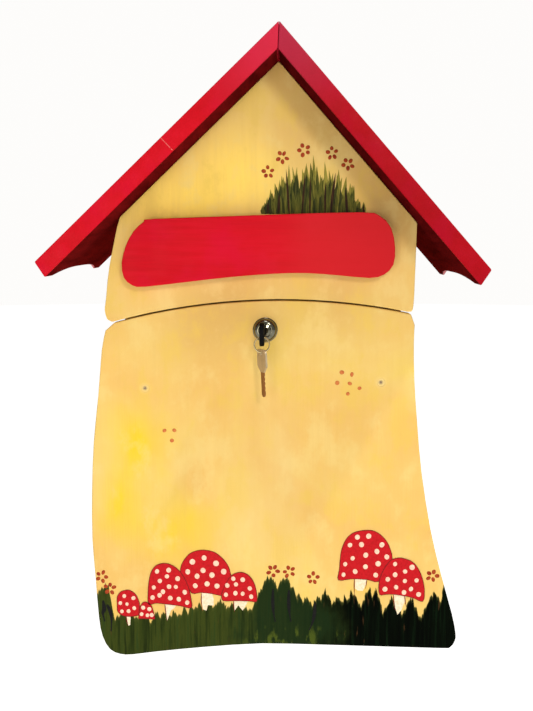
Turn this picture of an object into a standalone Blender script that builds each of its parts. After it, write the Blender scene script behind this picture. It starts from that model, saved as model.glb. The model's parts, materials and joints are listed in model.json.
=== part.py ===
"""House-shaped wooden wall mailbox, modelled piece by piece.

A box hangs on a wall. Its front is two painted boards: a fixed gable with a mail slot
behind a top-hung flap, and below it a bottom-hung door with a cam lock. Two boards make
the roof. The back of the box lies in the plane Y = 0, the front faces -Y, and Z is up.
The origin is on the wall face, at the middle of the box's width.
"""

import math

import bmesh
import bpy
from mathutils import Matrix, Vector

# Driving dimensions, in metres and radians

GAP = 0.0003
PAST = 0.01
BOARD = 0.018
PLY = 0.012
ROOF_BOARD = 0.017
EDGE_ROUND = 0.0015

BOX_HALF = 0.141
BOX_BOTTOM = -0.2035
FRONT_FACE = -0.210
FRONT_BACK = FRONT_FACE + BOARD
ROOF_FRONT = -0.280
ROOF_REAR = -0.002

RIDGE_X = 0.0178
RIDGE_Z = 0.386
LEFT_PITCH = math.radians(43.7)
RIGHT_PITCH = math.radians(48.8)
LEFT_SLOPE = 0.317
RIGHT_SLOPE = 0.3005
EAVE_CUT = math.radians(56.5)
SCALLOP_DEPTH = 0.010
SCALLOP_FOOT = 0.030
SCALLOP_STEPS = 14

SEAM_PEAK = (0.020, 0.1275)
SEAM_RADIUS = 0.640
SEAM_HALF_GAP = 0.00075
SEAM_STEPS = 16

DOOR_LEFT = [
    (-0.1580, 0.0962), (-0.1622, 0.0760), (-0.1665, 0.0300), (-0.1720, -0.0180),
    (-0.1748, -0.0700), (-0.1753, -0.1200), (-0.1728, -0.1600), (-0.1700, -0.2030),
    (-0.1665, -0.2240), (-0.1590, -0.2380), (-0.1480, -0.2432),
]
DOOR_BOTTOM = [
    (-0.1350, -0.2435), (-0.1090, -0.2400), (-0.0600, -0.2347), (0.0000, -0.2303),
    (0.0600, -0.2312), (0.1200, -0.2323), (0.1850, -0.2336),
]
DOOR_RIGHT = [
    (0.1950, -0.2325), (0.1998, -0.2255), (0.2003, -0.2170), (0.1960, -0.1960),
    (0.1840, -0.1540), (0.1725, -0.1070), (0.1625, -0.0480), (0.1573, 0.0020),
    (0.1537, 0.0480), (0.1527, 0.0840), (0.1532, 0.1025),
]
GABLE_LEFT = [
    (-0.1560, 0.1075), (-0.1583, 0.1165), (-0.1568, 0.1290), (-0.1530, 0.1600), (-0.1416, 0.2140),
]
GABLE_RIGHT = [
    (0.1500, 0.1160), (0.1516, 0.1220), (0.1526, 0.1450), (0.1532, 0.1750), (0.1540, 0.2030),
]

FLAP_OUTLINE = [
    (-0.1042, 0.2080), (0.0021, 0.2117), (0.0950, 0.2143), (0.1150, 0.2112), (0.1269, 0.1991),
    (0.1310, 0.1802), (0.1296, 0.1632), (0.1203, 0.1533), (0.1064, 0.1501), (0.0766, 0.1526),
    (0.0447, 0.1548), (0.0127, 0.1542), (-0.0300, 0.1509), (-0.0727, 0.1461), (-0.1150, 0.1412),
    (-0.1275, 0.1425), (-0.1360, 0.1503), (-0.1379, 0.1652), (-0.1333, 0.1823), (-0.1256, 0.1959),
    (-0.1149, 0.2055),
]
FLAP_THICKNESS = 0.011
FLAP_ROUND = 0.003
FLAP_TILT = math.radians(1.8)
FLAP_AXIS_MID = (0.0, 0.2096)

SLOT_LOW = (-0.118, 0.165)
SLOT_HIGH = (0.112, 0.191)
SLOT_ROUND = 0.005

KNUCKLE = 0.0022
LEAF = 0.001
PIN = 0.0008
HINGE_BORE = 0.0011
HINGE_STANDOFF = 0.0025
FLAP_HINGE_X = 0.070
FLAP_HINGE_LENGTH = 0.040
FLAP_HINGE_LEAF = 0.012
DOOR_HINGE_X = 0.085
DOOR_HINGE_LENGTH = 0.050
DOOR_HINGE_LEAF = 0.018

STAY_RADIUS = 0.090
STAY_DOOR_ANGLE = math.radians(5.74)
STAY_WALL_ANGLE = math.radians(25.74)
STAY_NEAR_X = 0.1249
STAY_THICKNESS = 0.002
STAY_WIDTH = 0.014
STAY_SLOT = (0.0305, 0.1482)
STAY_SLOT_RADIUS = 0.0034
STAY_PIN_RADIUS = 0.003

LOCK_X = 0.0034
LOCK_Z = 0.0974
BARREL_RADIUS = 0.0092
PLUG_RADIUS = 0.006
CAM_REACH = 0.041
CAM_HALF_WIDTH = 0.007

BOW_OFFSET = -0.0026
BOW_THICKNESS = 0.0048
BOW_HOLE = (0.028, -0.0038)
RING_RADIUS = 0.0075
RING_WIRE = 0.0007
RING_DROP = 0.0085
SPARE_TURN = math.radians(22)
SPARE_LEAN = Matrix.Rotation(math.radians(-2.8), 3, "Y")
SPARE_DROP = 0.001

SCREW_SPOTS = {"left": (-0.1182, 0.0375), "right": (0.1203, 0.0442)}
BATTEN_HALF = 0.1255
BATTEN_DEPTH = 0.015
BATTEN_LOW = 0.0305
BATTEN_HIGH = 0.0515

WALL_SCREW_X = 0.085
WALL_SCREW_Z = {"low": -0.150, "high": 0.170}
WALL_SCREW_RADIUS = 0.003

BUMPER_RADIUS = 0.004
DOOR_BUMPER_Z = 0.070
DOOR_BUMPER_HEIGHT = 0.0024
SIDE_STEP_Z = 0.124
FLAP_BUMPERS = {"left": (-0.112, 0.152), "right": (0.110, 0.1585)}

RIDGE_BLOCK_HEIGHT = 0.028
PAST_RIDGE = 0.04

# Worked out from the driving dimensions

WALL_INNER = BOX_HALF - PLY
CASE_FRONT = FRONT_BACK + GAP
BACK_FRONT = -PLY - GAP
DOOR_EDGE = CASE_FRONT + DOOR_BUMPER_HEIGHT + GAP
DOOR_AXIS = Vector((0, FRONT_BACK + HINGE_STANDOFF, BOX_BOTTOM - HINGE_STANDOFF))
FLAP_AXIS = Vector((FLAP_AXIS_MID[0], FRONT_FACE - HINGE_STANDOFF, FLAP_AXIS_MID[1]))
FLAP_BACK = FRONT_FACE - 2 * HINGE_STANDOFF
LOCK_AXIS = Vector((LOCK_X, FRONT_FACE, LOCK_Z))
BOW_HOLE_AT = LOCK_AXIS + Vector((BOW_OFFSET, -BOW_HOLE[0], BOW_HOLE[1]))
RING_AT = BOW_HOLE_AT + Vector((0, 0, -RING_DROP))


# Materials


def paint(name, color, roughness, metallic=0.0):
    made = bpy.data.materials.new(name)
    made.use_nodes = True
    shader = made.node_tree.nodes["Principled BSDF"]
    shader.inputs["Base Color"].default_value = (*color, 1.0)
    shader.inputs["Roughness"].default_value = roughness
    shader.inputs["Metallic"].default_value = metallic
    made.diffuse_color = (*color, 1.0)
    return made


def make_materials():
    return {
        "yellow": paint("yellow_paint", (0.92, 0.62, 0.16), 0.45),
        "red": paint("red_paint", (0.62, 0.01, 0.02), 0.4),
        "ply": paint("plywood", (0.62, 0.42, 0.24), 0.7),
        "chrome": paint("chrome", (0.75, 0.75, 0.76), 0.1, 1.0),
        "zinc": paint("zinc_steel", (0.6, 0.61, 0.62), 0.35, 1.0),
        "nickel": paint("nickel", (0.62, 0.58, 0.5), 0.3, 1.0),
        "black": paint("black_key_head", (0.02, 0.02, 0.02), 0.4),
        "rubber": paint("bumper_rubber", (0.08, 0.08, 0.08), 0.8),
    }


# Building helpers


def add(name, bm, material):
    """A new object from a bmesh, whose faces are turned to point outwards."""
    bmesh.ops.recalc_face_normals(bm, faces=bm.faces)
    mesh = bpy.data.meshes.new(name)
    bm.to_mesh(mesh)
    bm.free()
    made = bpy.data.objects.new(name, mesh)
    bpy.context.scene.collection.objects.link(made)
    if material:
        mesh.materials.append(material)
    return made


def helper(made):
    """Marks an object as a cutter or as a shape that a union takes up."""
    made.hide_render = True
    made.display_type = "WIRE"
    return made


def prism(name, outline, place, depth, material=None):
    """A flat outline, put in space by place(u, v), pulled along the vector depth."""
    bm = bmesh.new()
    face = bm.faces.new([bm.verts.new(place(u, v)) for u, v in outline])
    pulled = bmesh.ops.extrude_face_region(bm, geom=[face])
    moved = [item for item in pulled["geom"] if isinstance(item, bmesh.types.BMVert)]
    bmesh.ops.translate(bm, verts=moved, vec=depth)
    return add(name, bm, material)


def front_prism(name, outline, y_front, y_back, material=None):
    """An outline in the XZ plane with depth along Y."""
    return prism(name, outline, lambda x, z: (x, y_front, z), Vector((0, y_back - y_front, 0)), material)


def side_prism(name, outline, x_low, x_high, material=None):
    """An outline in the YZ plane with width along X."""
    return prism(name, outline, lambda y, z: (x_low, y, z), Vector((x_high - x_low, 0, 0)), material)


def block(name, low, high, material=None):
    bm = bmesh.new()
    bmesh.ops.create_cube(bm, size=1)
    size = [high[i] - low[i] for i in range(3)]
    middle = [(high[i] + low[i]) / 2 for i in range(3)]
    bmesh.ops.scale(bm, verts=bm.verts, vec=size)
    bmesh.ops.translate(bm, verts=bm.verts, vec=middle)
    return add(name, bm, material)


def rod(name, start, end, radius, steps=20, material=None):
    """A round rod from one point to another."""
    start, end = Vector(start), Vector(end)
    bm = bmesh.new()
    bmesh.ops.create_cone(
        bm, cap_ends=True, segments=steps, radius1=radius, radius2=radius, depth=(end - start).length
    )
    turn = Vector((0, 0, 1)).rotation_difference(end - start).to_matrix().to_4x4()
    bmesh.ops.transform(bm, matrix=Matrix.Translation((start + end) / 2) @ turn, verts=bm.verts)
    return smooth(add(name, bm, material))


def turned(name, profile, origin, steps=28, material=None, closed=False):
    """A profile of (radius, distance in front) turned about the line along Y through origin."""
    bm = bmesh.new()
    verts = [bm.verts.new((radius, -ahead, 0)) for radius, ahead in profile]
    edges = [bm.edges.new(pair) for pair in zip(verts, verts[1:])]
    if closed:
        edges.append(bm.edges.new((verts[-1], verts[0])))
    bmesh.ops.spin(
        bm, geom=verts + edges, cent=(0, 0, 0), axis=(0, 1, 0), angle=2 * math.pi, steps=steps, use_merge=True
    )
    bmesh.ops.remove_doubles(bm, verts=bm.verts, dist=1e-6)
    bmesh.ops.translate(bm, verts=bm.verts, vec=origin)
    return smooth(add(name, bm, material))


def smooth(made):
    made.data.shade_smooth()
    made.data.set_sharp_from_angle(angle=math.radians(35))
    return made


def rounded(made, width=EDGE_ROUND, segments=2):
    modifier = made.modifiers.new("edge_round", "BEVEL")
    modifier.width = width
    modifier.segments = segments
    modifier.limit_method = "ANGLE"
    modifier.angle_limit = math.radians(40)
    return made


def saw(made, point, outward):
    """Cuts a piece along a plane, and keeps the side that outward points away from."""
    bm = bmesh.new()
    bm.from_mesh(made.data)
    everything = bm.verts[:] + bm.edges[:] + bm.faces[:]
    bmesh.ops.bisect_plane(bm, geom=everything, plane_co=point, plane_no=outward, clear_outer=True)
    bmesh.ops.holes_fill(bm, edges=[edge for edge in bm.edges if edge.is_boundary])
    bmesh.ops.recalc_face_normals(bm, faces=bm.faces)
    bm.to_mesh(made.data)
    bm.free()


def combine(made, other, operation):
    modifier = made.modifiers.new(other.name, "BOOLEAN")
    modifier.operation = operation
    modifier.object = helper(other)
    return made


def cut(made, cutter):
    return combine(made, cutter, "DIFFERENCE")


def join(made, other):
    return combine(made, other, "UNION")


def pivot(name, at, parent=None):
    """An empty on a joint's axis, to which the pieces of a moving body are parented."""
    made = bpy.data.objects.new(name, None)
    bpy.context.scene.collection.objects.link(made)
    made["at"] = list(at)
    made.location = Vector(at) - (Vector(parent["at"]) if parent else Vector())
    made.parent = parent
    return made


def hang(made, on):
    """Parents a piece to a pivot and moves its origin there, without moving its shape."""
    made.data.transform(Matrix.Translation(-Vector(on["at"])))
    made.parent = on
    return made


# Outlines


def smooth_run(points, per_span=3, closed=False):
    """Points along a smooth curve that passes through every given point."""
    count = len(points)
    spans = count if closed else count - 1

    def at(index):
        if closed:
            return Vector(points[index % count])
        return Vector(points[min(max(index, 0), count - 1)])

    run = []
    for span in range(spans):
        p0, p1, p2, p3 = (at(span + shift) for shift in (-1, 0, 1, 2))
        for step in range(per_span):
            t = step / per_span
            bend = (p3 - 3 * p2 + 3 * p1 - p0) * t**3 + (2 * p0 - 5 * p1 + 4 * p2 - p3) * t**2
            run.append(tuple(p1 + (bend + (p2 - p0) * t) / 2))
    if not closed:
        run.append(tuple(points[-1]))
    return run


def arc(center, radius, start, end, steps):
    """Points on a circle from one angle to another, both included."""
    angles = (start + (end - start) * i / steps for i in range(steps + 1))
    return [(center[0] + radius * math.cos(a), center[1] + radius * math.sin(a)) for a in angles]


def stadium(start, end, radius, steps=8):
    """A bar with round ends, along the first axis."""
    quarter = math.pi / 2
    right = arc((end, 0), radius, -quarter, quarter, steps)
    return right + arc((start, 0), radius, quarter, 3 * quarter, steps)


def rounded_rectangle(low, high, radius, steps=4):
    quarter = math.pi / 2
    corners = [
        (high[0] - radius, high[1] - radius), (low[0] + radius, high[1] - radius),
        (low[0] + radius, low[1] + radius), (high[0] - radius, low[1] + radius),
    ]
    points = []
    for turn, corner in enumerate(corners):
        points += arc(corner, radius, turn * quarter, (turn + 1) * quarter, steps)
    return points


def seam_height(x, shift):
    """Height of the arched joint between gable and door, moved up or down by shift."""
    reach = x - SEAM_PEAK[0]
    return SEAM_PEAK[1] - SEAM_RADIUS + math.sqrt(SEAM_RADIUS**2 - reach**2) + shift


def seam_run(x_start, x_end, shift):
    spots = [x_start + (x_end - x_start) * i / SEAM_STEPS for i in range(SEAM_STEPS + 1)]
    return [(x, seam_height(x, shift)) for x in spots]


def under_roof(x, drop):
    """Height at x of the line that lies drop below the roof's outer face."""
    if x < ridge_point(drop)[0]:
        return RIDGE_Z - (RIDGE_X - x) * math.tan(LEFT_PITCH) - drop / math.cos(LEFT_PITCH)
    return RIDGE_Z - (x - RIDGE_X) * math.tan(RIGHT_PITCH) - drop / math.cos(RIGHT_PITCH)


def ridge_point(drop):
    """Where the two lines that lie drop below the roof's outer faces meet."""
    left, right = 1 / math.cos(LEFT_PITCH), 1 / math.cos(RIGHT_PITCH)
    shift = drop * (left - right) / (math.tan(LEFT_PITCH) + math.tan(RIGHT_PITCH))
    return (RIDGE_X + shift, RIDGE_Z + shift * math.tan(LEFT_PITCH) - drop * left)


# The box


def make_back_panel(materials):
    top = ROOF_BOARD + GAP
    outline = [
        (-BOX_HALF, BOX_BOTTOM), (BOX_HALF, BOX_BOTTOM), (BOX_HALF, under_roof(BOX_HALF, top)),
        ridge_point(top), (-BOX_HALF, under_roof(-BOX_HALF, top)),
    ]
    panel = front_prism("back_panel", outline, -PLY, 0, materials["ply"])
    for side, x in (("left", -WALL_SCREW_X), ("right", WALL_SCREW_X)):
        for level, z in WALL_SCREW_Z.items():
            name = f"wall_screw_hole_{side}_{level}"
            cut(panel, rod(name, (x, -PLY - PAST, z), (x, PAST, z), WALL_SCREW_RADIUS, 16))


def make_side(side, materials):
    """A side wall. Its front edge steps back below the seam to leave room for the door's bumpers."""
    sign = -1 if side == "left" else 1
    outline = [
        (BACK_FRONT, BOX_BOTTOM), (DOOR_EDGE, BOX_BOTTOM), (DOOR_EDGE, SIDE_STEP_Z),
        (CASE_FRONT, SIDE_STEP_Z), (CASE_FRONT, RIDGE_Z), (BACK_FRONT, RIDGE_Z),
    ]
    inner, outer = sign * WALL_INNER, sign * BOX_HALF
    wall = side_prism(f"side_{side}", outline, inner, outer, materials["yellow"])
    top = ROOF_BOARD + GAP
    pitch = LEFT_PITCH if sign < 0 else RIGHT_PITCH
    saw(wall, (inner, 0, under_roof(inner, top)), (sign * math.sin(pitch), 0, math.cos(pitch)))
    bumper_at = ((inner + outer) / 2, DOOR_EDGE, DOOR_BUMPER_Z)
    turned(f"door_bumper_{side}", bumper_profile(DOOR_BUMPER_HEIGHT), bumper_at, 16, materials["rubber"])


def bumper_profile(height):
    """A low rubber button with a rounded rim, as (radius, distance in front)."""
    rim, low = BUMPER_RADIUS - 0.001, height - 0.0011
    return [(0, height), (rim, height - 0.0001), (BUMPER_RADIUS, low), (BUMPER_RADIUS, GAP), (0, GAP)]


def make_floor(materials):
    edge = WALL_INNER - GAP
    low, high = (-edge, DOOR_EDGE, BOX_BOTTOM), (edge, BACK_FRONT, BOX_BOTTOM + PLY)
    block("floor_board", low, high, materials["ply"])


def make_gable(materials):
    top = ROOF_BOARD + GAP
    left = smooth_run(GABLE_LEFT)
    right = smooth_run(GABLE_RIGHT)
    last_x, last_z = right[-1]
    right_top = (last_x, under_roof(last_x, top))
    left_top = (left[-1][0], under_roof(left[-1][0], top))
    bottom = seam_run(GABLE_LEFT[0][0] + 0.005, GABLE_RIGHT[0][0] - 0.004, SEAM_HALF_GAP)
    right = [point for point in right if point[1] < right_top[1] - 0.001]
    left = [point for point in left if point[1] < left_top[1] - 0.001]
    outline = bottom + right + [right_top, ridge_point(top), left_top] + left[::-1]
    gable = rounded(front_prism("gable_board", outline, FRONT_FACE, FRONT_BACK, materials["yellow"]))
    slot = rounded_rectangle(SLOT_LOW, SLOT_HIGH, SLOT_ROUND)
    cut(gable, front_prism("mail_slot_cutter", slot, FRONT_FACE - PAST, FRONT_BACK + PAST))


def make_ridge_block(materials):
    top = ROOF_BOARD + 2 * GAP
    apex = ridge_point(top)
    base = apex[1] - RIDGE_BLOCK_HEIGHT
    left_x = apex[0] - RIDGE_BLOCK_HEIGHT / math.tan(LEFT_PITCH)
    right_x = apex[0] + RIDGE_BLOCK_HEIGHT / math.tan(RIGHT_PITCH)
    outline = [(left_x, base), (right_x, base), apex]
    front_prism("ridge_block", outline, CASE_FRONT, BACK_FRONT, materials["ply"])


# The roof


def scallop(y):
    """How far the eave's end is cut back at y: none at the two feet, most between them."""
    middle = (ROOF_FRONT + ROOF_REAR) / 2
    half = (ROOF_REAR - ROOF_FRONT) / 2 - SCALLOP_FOOT
    share = abs(y - middle) / half
    return SCALLOP_DEPTH * (1 - share**3) if share < 1 else 0.0


def make_roof_board(side, materials):
    """A board with a mitred ridge end and a hollowed eave end."""
    sign = -1 if side == "left" else 1
    pitch, length = (LEFT_PITCH, LEFT_SLOPE) if side == "left" else (RIGHT_PITCH, RIGHT_SLOPE)
    along = Vector((sign * math.cos(pitch), 0, -math.sin(pitch)))
    inward = Vector((-sign * math.sin(pitch), 0, -math.cos(pitch)))
    end_cut = Vector((-sign * math.cos(EAVE_CUT), 0, -math.sin(EAVE_CUT)))
    ridge = Vector((RIDGE_X, 0, RIDGE_Z))
    hollow = ROOF_REAR - ROOF_FRONT - 2 * SCALLOP_FOOT
    curve = [ROOF_FRONT + SCALLOP_FOOT + hollow * i / SCALLOP_STEPS for i in range(SCALLOP_STEPS + 1)]
    eave = [(length - scallop(y), y) for y in [ROOF_FRONT, *curve, ROOF_REAR]]
    outline = [(-PAST_RIDGE, ROOF_FRONT), *eave, (-PAST_RIDGE, ROOF_REAR)]
    depth = end_cut * (ROOF_BOARD / end_cut.dot(inward))
    board = prism(
        f"roof_{side}", outline, lambda s, y: ridge + along * s + Vector((0, y, 0)), depth, materials["red"]
    )
    other_pitch = RIGHT_PITCH if side == "left" else LEFT_PITCH
    other_along = Vector((-sign * math.cos(other_pitch), 0, -math.sin(other_pitch)))
    fold = (along + other_along).normalized()
    outward = (other_along - fold * other_along.dot(fold)).normalized()
    saw(board, ridge - outward * (GAP / 2), outward)
    rounded(board, 0.0012)


# Hinges


def leaf_profile(width):
    """Cross-section of a leaf with its knuckle: u along the leaf, v away from the axis."""
    inner = math.sqrt(KNUCKLE**2 - (KNUCKLE - LEAF) ** 2)
    start = math.atan2(KNUCKLE - LEAF, inner)
    return [(width, KNUCKLE), (width, KNUCKLE - LEAF)] + arc((0, 0), KNUCKLE, start, -1.5 * math.pi, 18)


def make_leaf(name, center, axis, u, v, length, width, middle, material):
    """A leaf with the middle knuckle, or with the two outer ones."""
    outline = leaf_profile(width)
    leaf = prism(
        name, outline, lambda a, b: center + u * a + v * b - axis * (length / 2), axis * length, material
    )
    cut(leaf, rod(f"{name}_bore", center - axis * length, center + axis * length, HINGE_BORE, 16))
    reach = KNUCKLE + 0.0004
    third = length / 4

    def notch(tag, start, end):
        corners = [(-reach, -reach), (reach, -reach), (reach, reach), (-reach, reach)]
        return prism(
            f"{name}_notch_{tag}",
            corners,
            lambda a, b: center + u * a + v * b + axis * start,
            axis * (end - start),
        )

    if middle:
        cut(leaf, notch("start", -length, -third + GAP / 2))
        cut(leaf, notch("end", third - GAP / 2, length))
    else:
        cut(leaf, notch("middle", -third - GAP / 2, third + GAP / 2))
    return smooth(leaf)


def make_hinge(prefix, center, axis, fixed, moving, length, width, on, materials):
    """A butt hinge. fixed and moving give each leaf's directions along the leaf and off the axis."""
    make_leaf(f"{prefix}_fixed", center, axis, *fixed, length, width, False, materials["zinc"])
    hang(make_leaf(f"{prefix}_leaf", center, axis, *moving, length, width, True, materials["zinc"]), on)
    half = length / 2 + 0.0005
    rod(f"{prefix}_pin", center - axis * half, center + axis * half, PIN, 12, materials["zinc"])


# The flap


def make_flap(materials):
    flap_pivot = pivot("flap_pivot", FLAP_AXIS)
    outline = smooth_run(FLAP_OUTLINE, 2, closed=True)
    front = FLAP_BACK - FLAP_THICKNESS
    flap = rounded(front_prism("flap_board", outline, front, FLAP_BACK, materials["red"]), FLAP_ROUND, 3)
    hang(smooth(flap), flap_pivot)
    axis = Vector((math.cos(FLAP_TILT), 0, math.sin(FLAP_TILT)))
    down = Vector((math.sin(FLAP_TILT), 0, -math.cos(FLAP_TILT)))
    for side, reach in (("left", -FLAP_HINGE_X), ("right", FLAP_HINGE_X)):
        make_hinge(
            f"flap_hinge_{side}",
            FLAP_AXIS + axis * reach,
            axis,
            (down, Vector((0, 1, 0))),
            (down, Vector((0, -1, 0))),
            FLAP_HINGE_LENGTH,
            FLAP_HINGE_LEAF,
            flap_pivot,
            materials,
        )
    profile = bumper_profile(FRONT_FACE - FLAP_BACK - 0.0004)
    for side, (x, z) in FLAP_BUMPERS.items():
        turned(f"flap_bumper_{side}", profile, (x, FRONT_FACE, z), 16, materials["rubber"])


# The door


def door_outline():
    corner_left, corner_right = DOOR_LEFT[0], DOOR_RIGHT[-1]
    top = seam_run(corner_right[0] - 0.004, corner_left[0] + 0.009, -SEAM_HALF_GAP)
    around = smooth_run(DOOR_LEFT + DOOR_BOTTOM + DOOR_RIGHT, 2)
    return around + top


def make_door(materials):
    door_pivot = pivot("door_pivot", DOOR_AXIS)
    panel = rounded(front_prism("door_panel", door_outline(), FRONT_FACE, FRONT_BACK, materials["yellow"]))
    ahead, behind = FRONT_FACE - PAST, FRONT_BACK + PAST
    hole = rod("lock_hole", (LOCK_X, ahead, LOCK_Z), (LOCK_X, behind, LOCK_Z), BARREL_RADIUS + 0.0004, 28)
    cut(panel, hole)

    low = (-BATTEN_HALF, CASE_FRONT, BATTEN_LOW)
    high = (BATTEN_HALF, CASE_FRONT + BATTEN_DEPTH, BATTEN_HIGH)
    batten = block("door_batten", low, high, materials["ply"])
    for side, (x, z) in SCREW_SPOTS.items():
        origin = (x, FRONT_FACE, z)
        sink = [(0, 0.002), (0.0063, 0.002), (0.0043, 0), (0.0021, -0.0022), (0.0021, -0.0305), (0, -0.0305)]
        cut(panel, turned(f"screw_sink_{side}", sink, origin, 20))
        cut(batten, turned(f"screw_pilot_{side}", sink, origin, 20))
        screw = [(0, -0.0002), (0.0039, -0.0002), (0.0017, -0.0024), (0.0017, -0.028), (0, -0.0298)]
        hang(turned(f"door_screw_{side}", screw, origin, 20, materials["yellow"]), door_pivot)
    hang(panel, door_pivot)
    hang(batten, door_pivot)

    for side, x in (("left", -DOOR_HINGE_X), ("right", DOOR_HINGE_X)):
        make_hinge(
            f"door_hinge_{side}",
            DOOR_AXIS + Vector((x, 0, 0)),
            Vector((1, 0, 0)),
            (Vector((0, 1, 0)), Vector((0, 0, 1))),
            (Vector((0, 0, -1)), Vector((0, -1, 0))),
            DOOR_HINGE_LENGTH,
            DOOR_HINGE_LEAF,
            door_pivot,
            materials,
        )
    for side in ("left", "right"):
        make_stay(side, door_pivot, materials)
    make_lock(door_pivot, materials)


def stay_point(angle):
    """A point STAY_RADIUS from the door's axis, as (y, z)."""
    return (DOOR_AXIS.y + STAY_RADIUS * math.sin(angle), DOOR_AXIS.z + STAY_RADIUS * math.cos(angle))


def make_stay(side, door_pivot, materials):
    """A slotted arm pivoted on the door's bracket, which slides on a pin in the side wall."""
    sign = -1 if side == "left" else 1
    door_y, door_z = stay_point(STAY_DOOR_ANGLE)
    wall_y, wall_z = stay_point(STAY_WALL_ANGLE)

    ear_outer, ear_inner = STAY_NEAR_X - 0.0004, STAY_NEAR_X - 0.0024
    ear = arc((door_y, door_z), 0.006, -math.pi / 2, math.pi / 2, 10)
    ear += [(CASE_FRONT, door_z + 0.006), (CASE_FRONT, door_z - 0.006)]
    bracket = side_prism(f"stay_bracket_{side}", ear, sign * ear_inner, sign * ear_outer, materials["zinc"])
    foot_low = (min(sign * 0.1085, sign * (ear_outer - 0.0005)), CASE_FRONT, door_z - 0.011)
    foot_high = (max(sign * 0.1085, sign * (ear_outer - 0.0005)), CASE_FRONT + 0.002, door_z + 0.011)
    join(bracket, block(f"bracket_foot_{side}", foot_low, foot_high))
    stud = rod(
        f"bracket_stud_{side}",
        (sign * (ear_outer - 0.001), door_y, door_z),
        (sign * (WALL_INNER - 0.0008), door_y, door_z),
        0.0025,
        16,
    )
    join(bracket, stud)
    hang(bracket, door_pivot)

    slope = Vector((wall_y - door_y, wall_z - door_z)).normalized()
    across = Vector((-slope.y, slope.x))
    arm_pivot = pivot(f"stay_pivot_{side}", (sign * STAY_NEAR_X, door_y, door_z), door_pivot)

    def place(x):
        return lambda p, q: (x, door_y + slope.x * p + across.x * q, door_z + slope.y * p + across.y * q)

    near, far = sign * STAY_NEAR_X, sign * (STAY_NEAR_X + STAY_THICKNESS)
    arm = prism(
        f"stay_arm_{side}",
        stadium(0, STAY_SLOT[1], STAY_WIDTH / 2),
        place(near),
        Vector((far - near, 0, 0)),
        materials["zinc"],
    )
    slot_start = sign * (STAY_NEAR_X - 0.001)
    slot = prism(
        f"stay_slot_{side}",
        stadium(*STAY_SLOT, STAY_SLOT_RADIUS),
        place(slot_start),
        Vector((sign * (STAY_THICKNESS + 0.002), 0, 0)),
    )
    cut(arm, slot)
    eye_start, eye_end = sign * (STAY_NEAR_X - 0.001), sign * (STAY_NEAR_X + STAY_THICKNESS + 0.001)
    cut(arm, rod(f"stay_eye_{side}", (eye_start, door_y, door_z), (eye_end, door_y, door_z), 0.0029, 20))
    hang(arm, arm_pivot)

    pin_origin = sign * (WALL_INNER - GAP)
    shoulder = sign * (STAY_NEAR_X - 0.0005)
    stay_pin = rod(
        f"stay_pin_{side}", (pin_origin, wall_y, wall_z), (shoulder, wall_y, wall_z), STAY_PIN_RADIUS, 20,
        materials["zinc"],
    )
    head = rod(
        f"stay_pin_head_{side}",
        (shoulder + sign * 0.0001, wall_y, wall_z),
        (shoulder - sign * 0.002, wall_y, wall_z),
        0.005,
        20,
    )
    join(stay_pin, head)


# The lock and its keys


def make_lock(door_pivot, materials):
    bore = PLUG_RADIUS + 0.0003
    housing = [
        (bore, 0.0078), (0.0078, 0.0076), (0.0096, 0.0066), (0.0108, 0.0050), (0.0115, 0.0032),
        (0.0119, 0.0018), (0.0125, 0.0014), (0.0125, GAP), (BARREL_RADIUS, GAP),
        (BARREL_RADIUS, -0.0245), (bore, -0.0245),
    ]
    hang(turned("lock_housing", housing, LOCK_AXIS, 32, materials["chrome"], closed=True), door_pivot)

    nut_front, nut_back = FRONT_BACK + GAP, FRONT_BACK + 0.0043
    low, high = (LOCK_X, nut_front, LOCK_Z), (LOCK_X, nut_back, LOCK_Z)
    nut = rod("lock_nut", low, high, 0.015, 6, materials["zinc"])
    low, high = (LOCK_X, nut_front - 0.002, LOCK_Z), (LOCK_X, nut_back + 0.002, LOCK_Z)
    nut_bore = rod("lock_nut_bore", low, high, BARREL_RADIUS + GAP, 28)
    hang(cut(nut, nut_bore), door_pivot)

    plug_pivot = pivot("plug_pivot", LOCK_AXIS, door_pivot)
    profile = [
        (0, 0.0086), (0.0035, 0.0084), (PLUG_RADIUS, 0.0078), (PLUG_RADIUS, -0.0248),
        (0.0036, -0.0248), (0.0036, -0.0282), (0, -0.0282),
    ]
    plug = turned("lock_plug", profile, LOCK_AXIS, 28, materials["chrome"])
    half_width, half_height, keyway_end = 0.0014, 0.0043, 0.0190
    keyway = block(
        "keyway",
        (LOCK_X - half_width, FRONT_FACE - 0.012, LOCK_Z - half_height),
        (LOCK_X + half_width, FRONT_FACE + keyway_end, LOCK_Z + half_height),
    )
    cut(plug, keyway)
    tapped = rod(
        "cam_screw_hole", LOCK_AXIS + Vector((0, 0.0225, 0)), LOCK_AXIS + Vector((0, 0.032, 0)), 0.0018, 12
    )
    cut(plug, tapped)
    hang(plug, plug_pivot)

    screw = [
        (0, -0.0232), (0.0015, -0.0232), (0.0015, -0.0285),
        (0.0046, -0.0285), (0.0042, -0.0307), (0, -0.0307),
    ]
    hang(turned("cam_screw", screw, LOCK_AXIS, 20, materials["zinc"]), plug_pivot)
    make_cam(plug_pivot, materials)
    make_keys(plug_pivot, materials)


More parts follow.
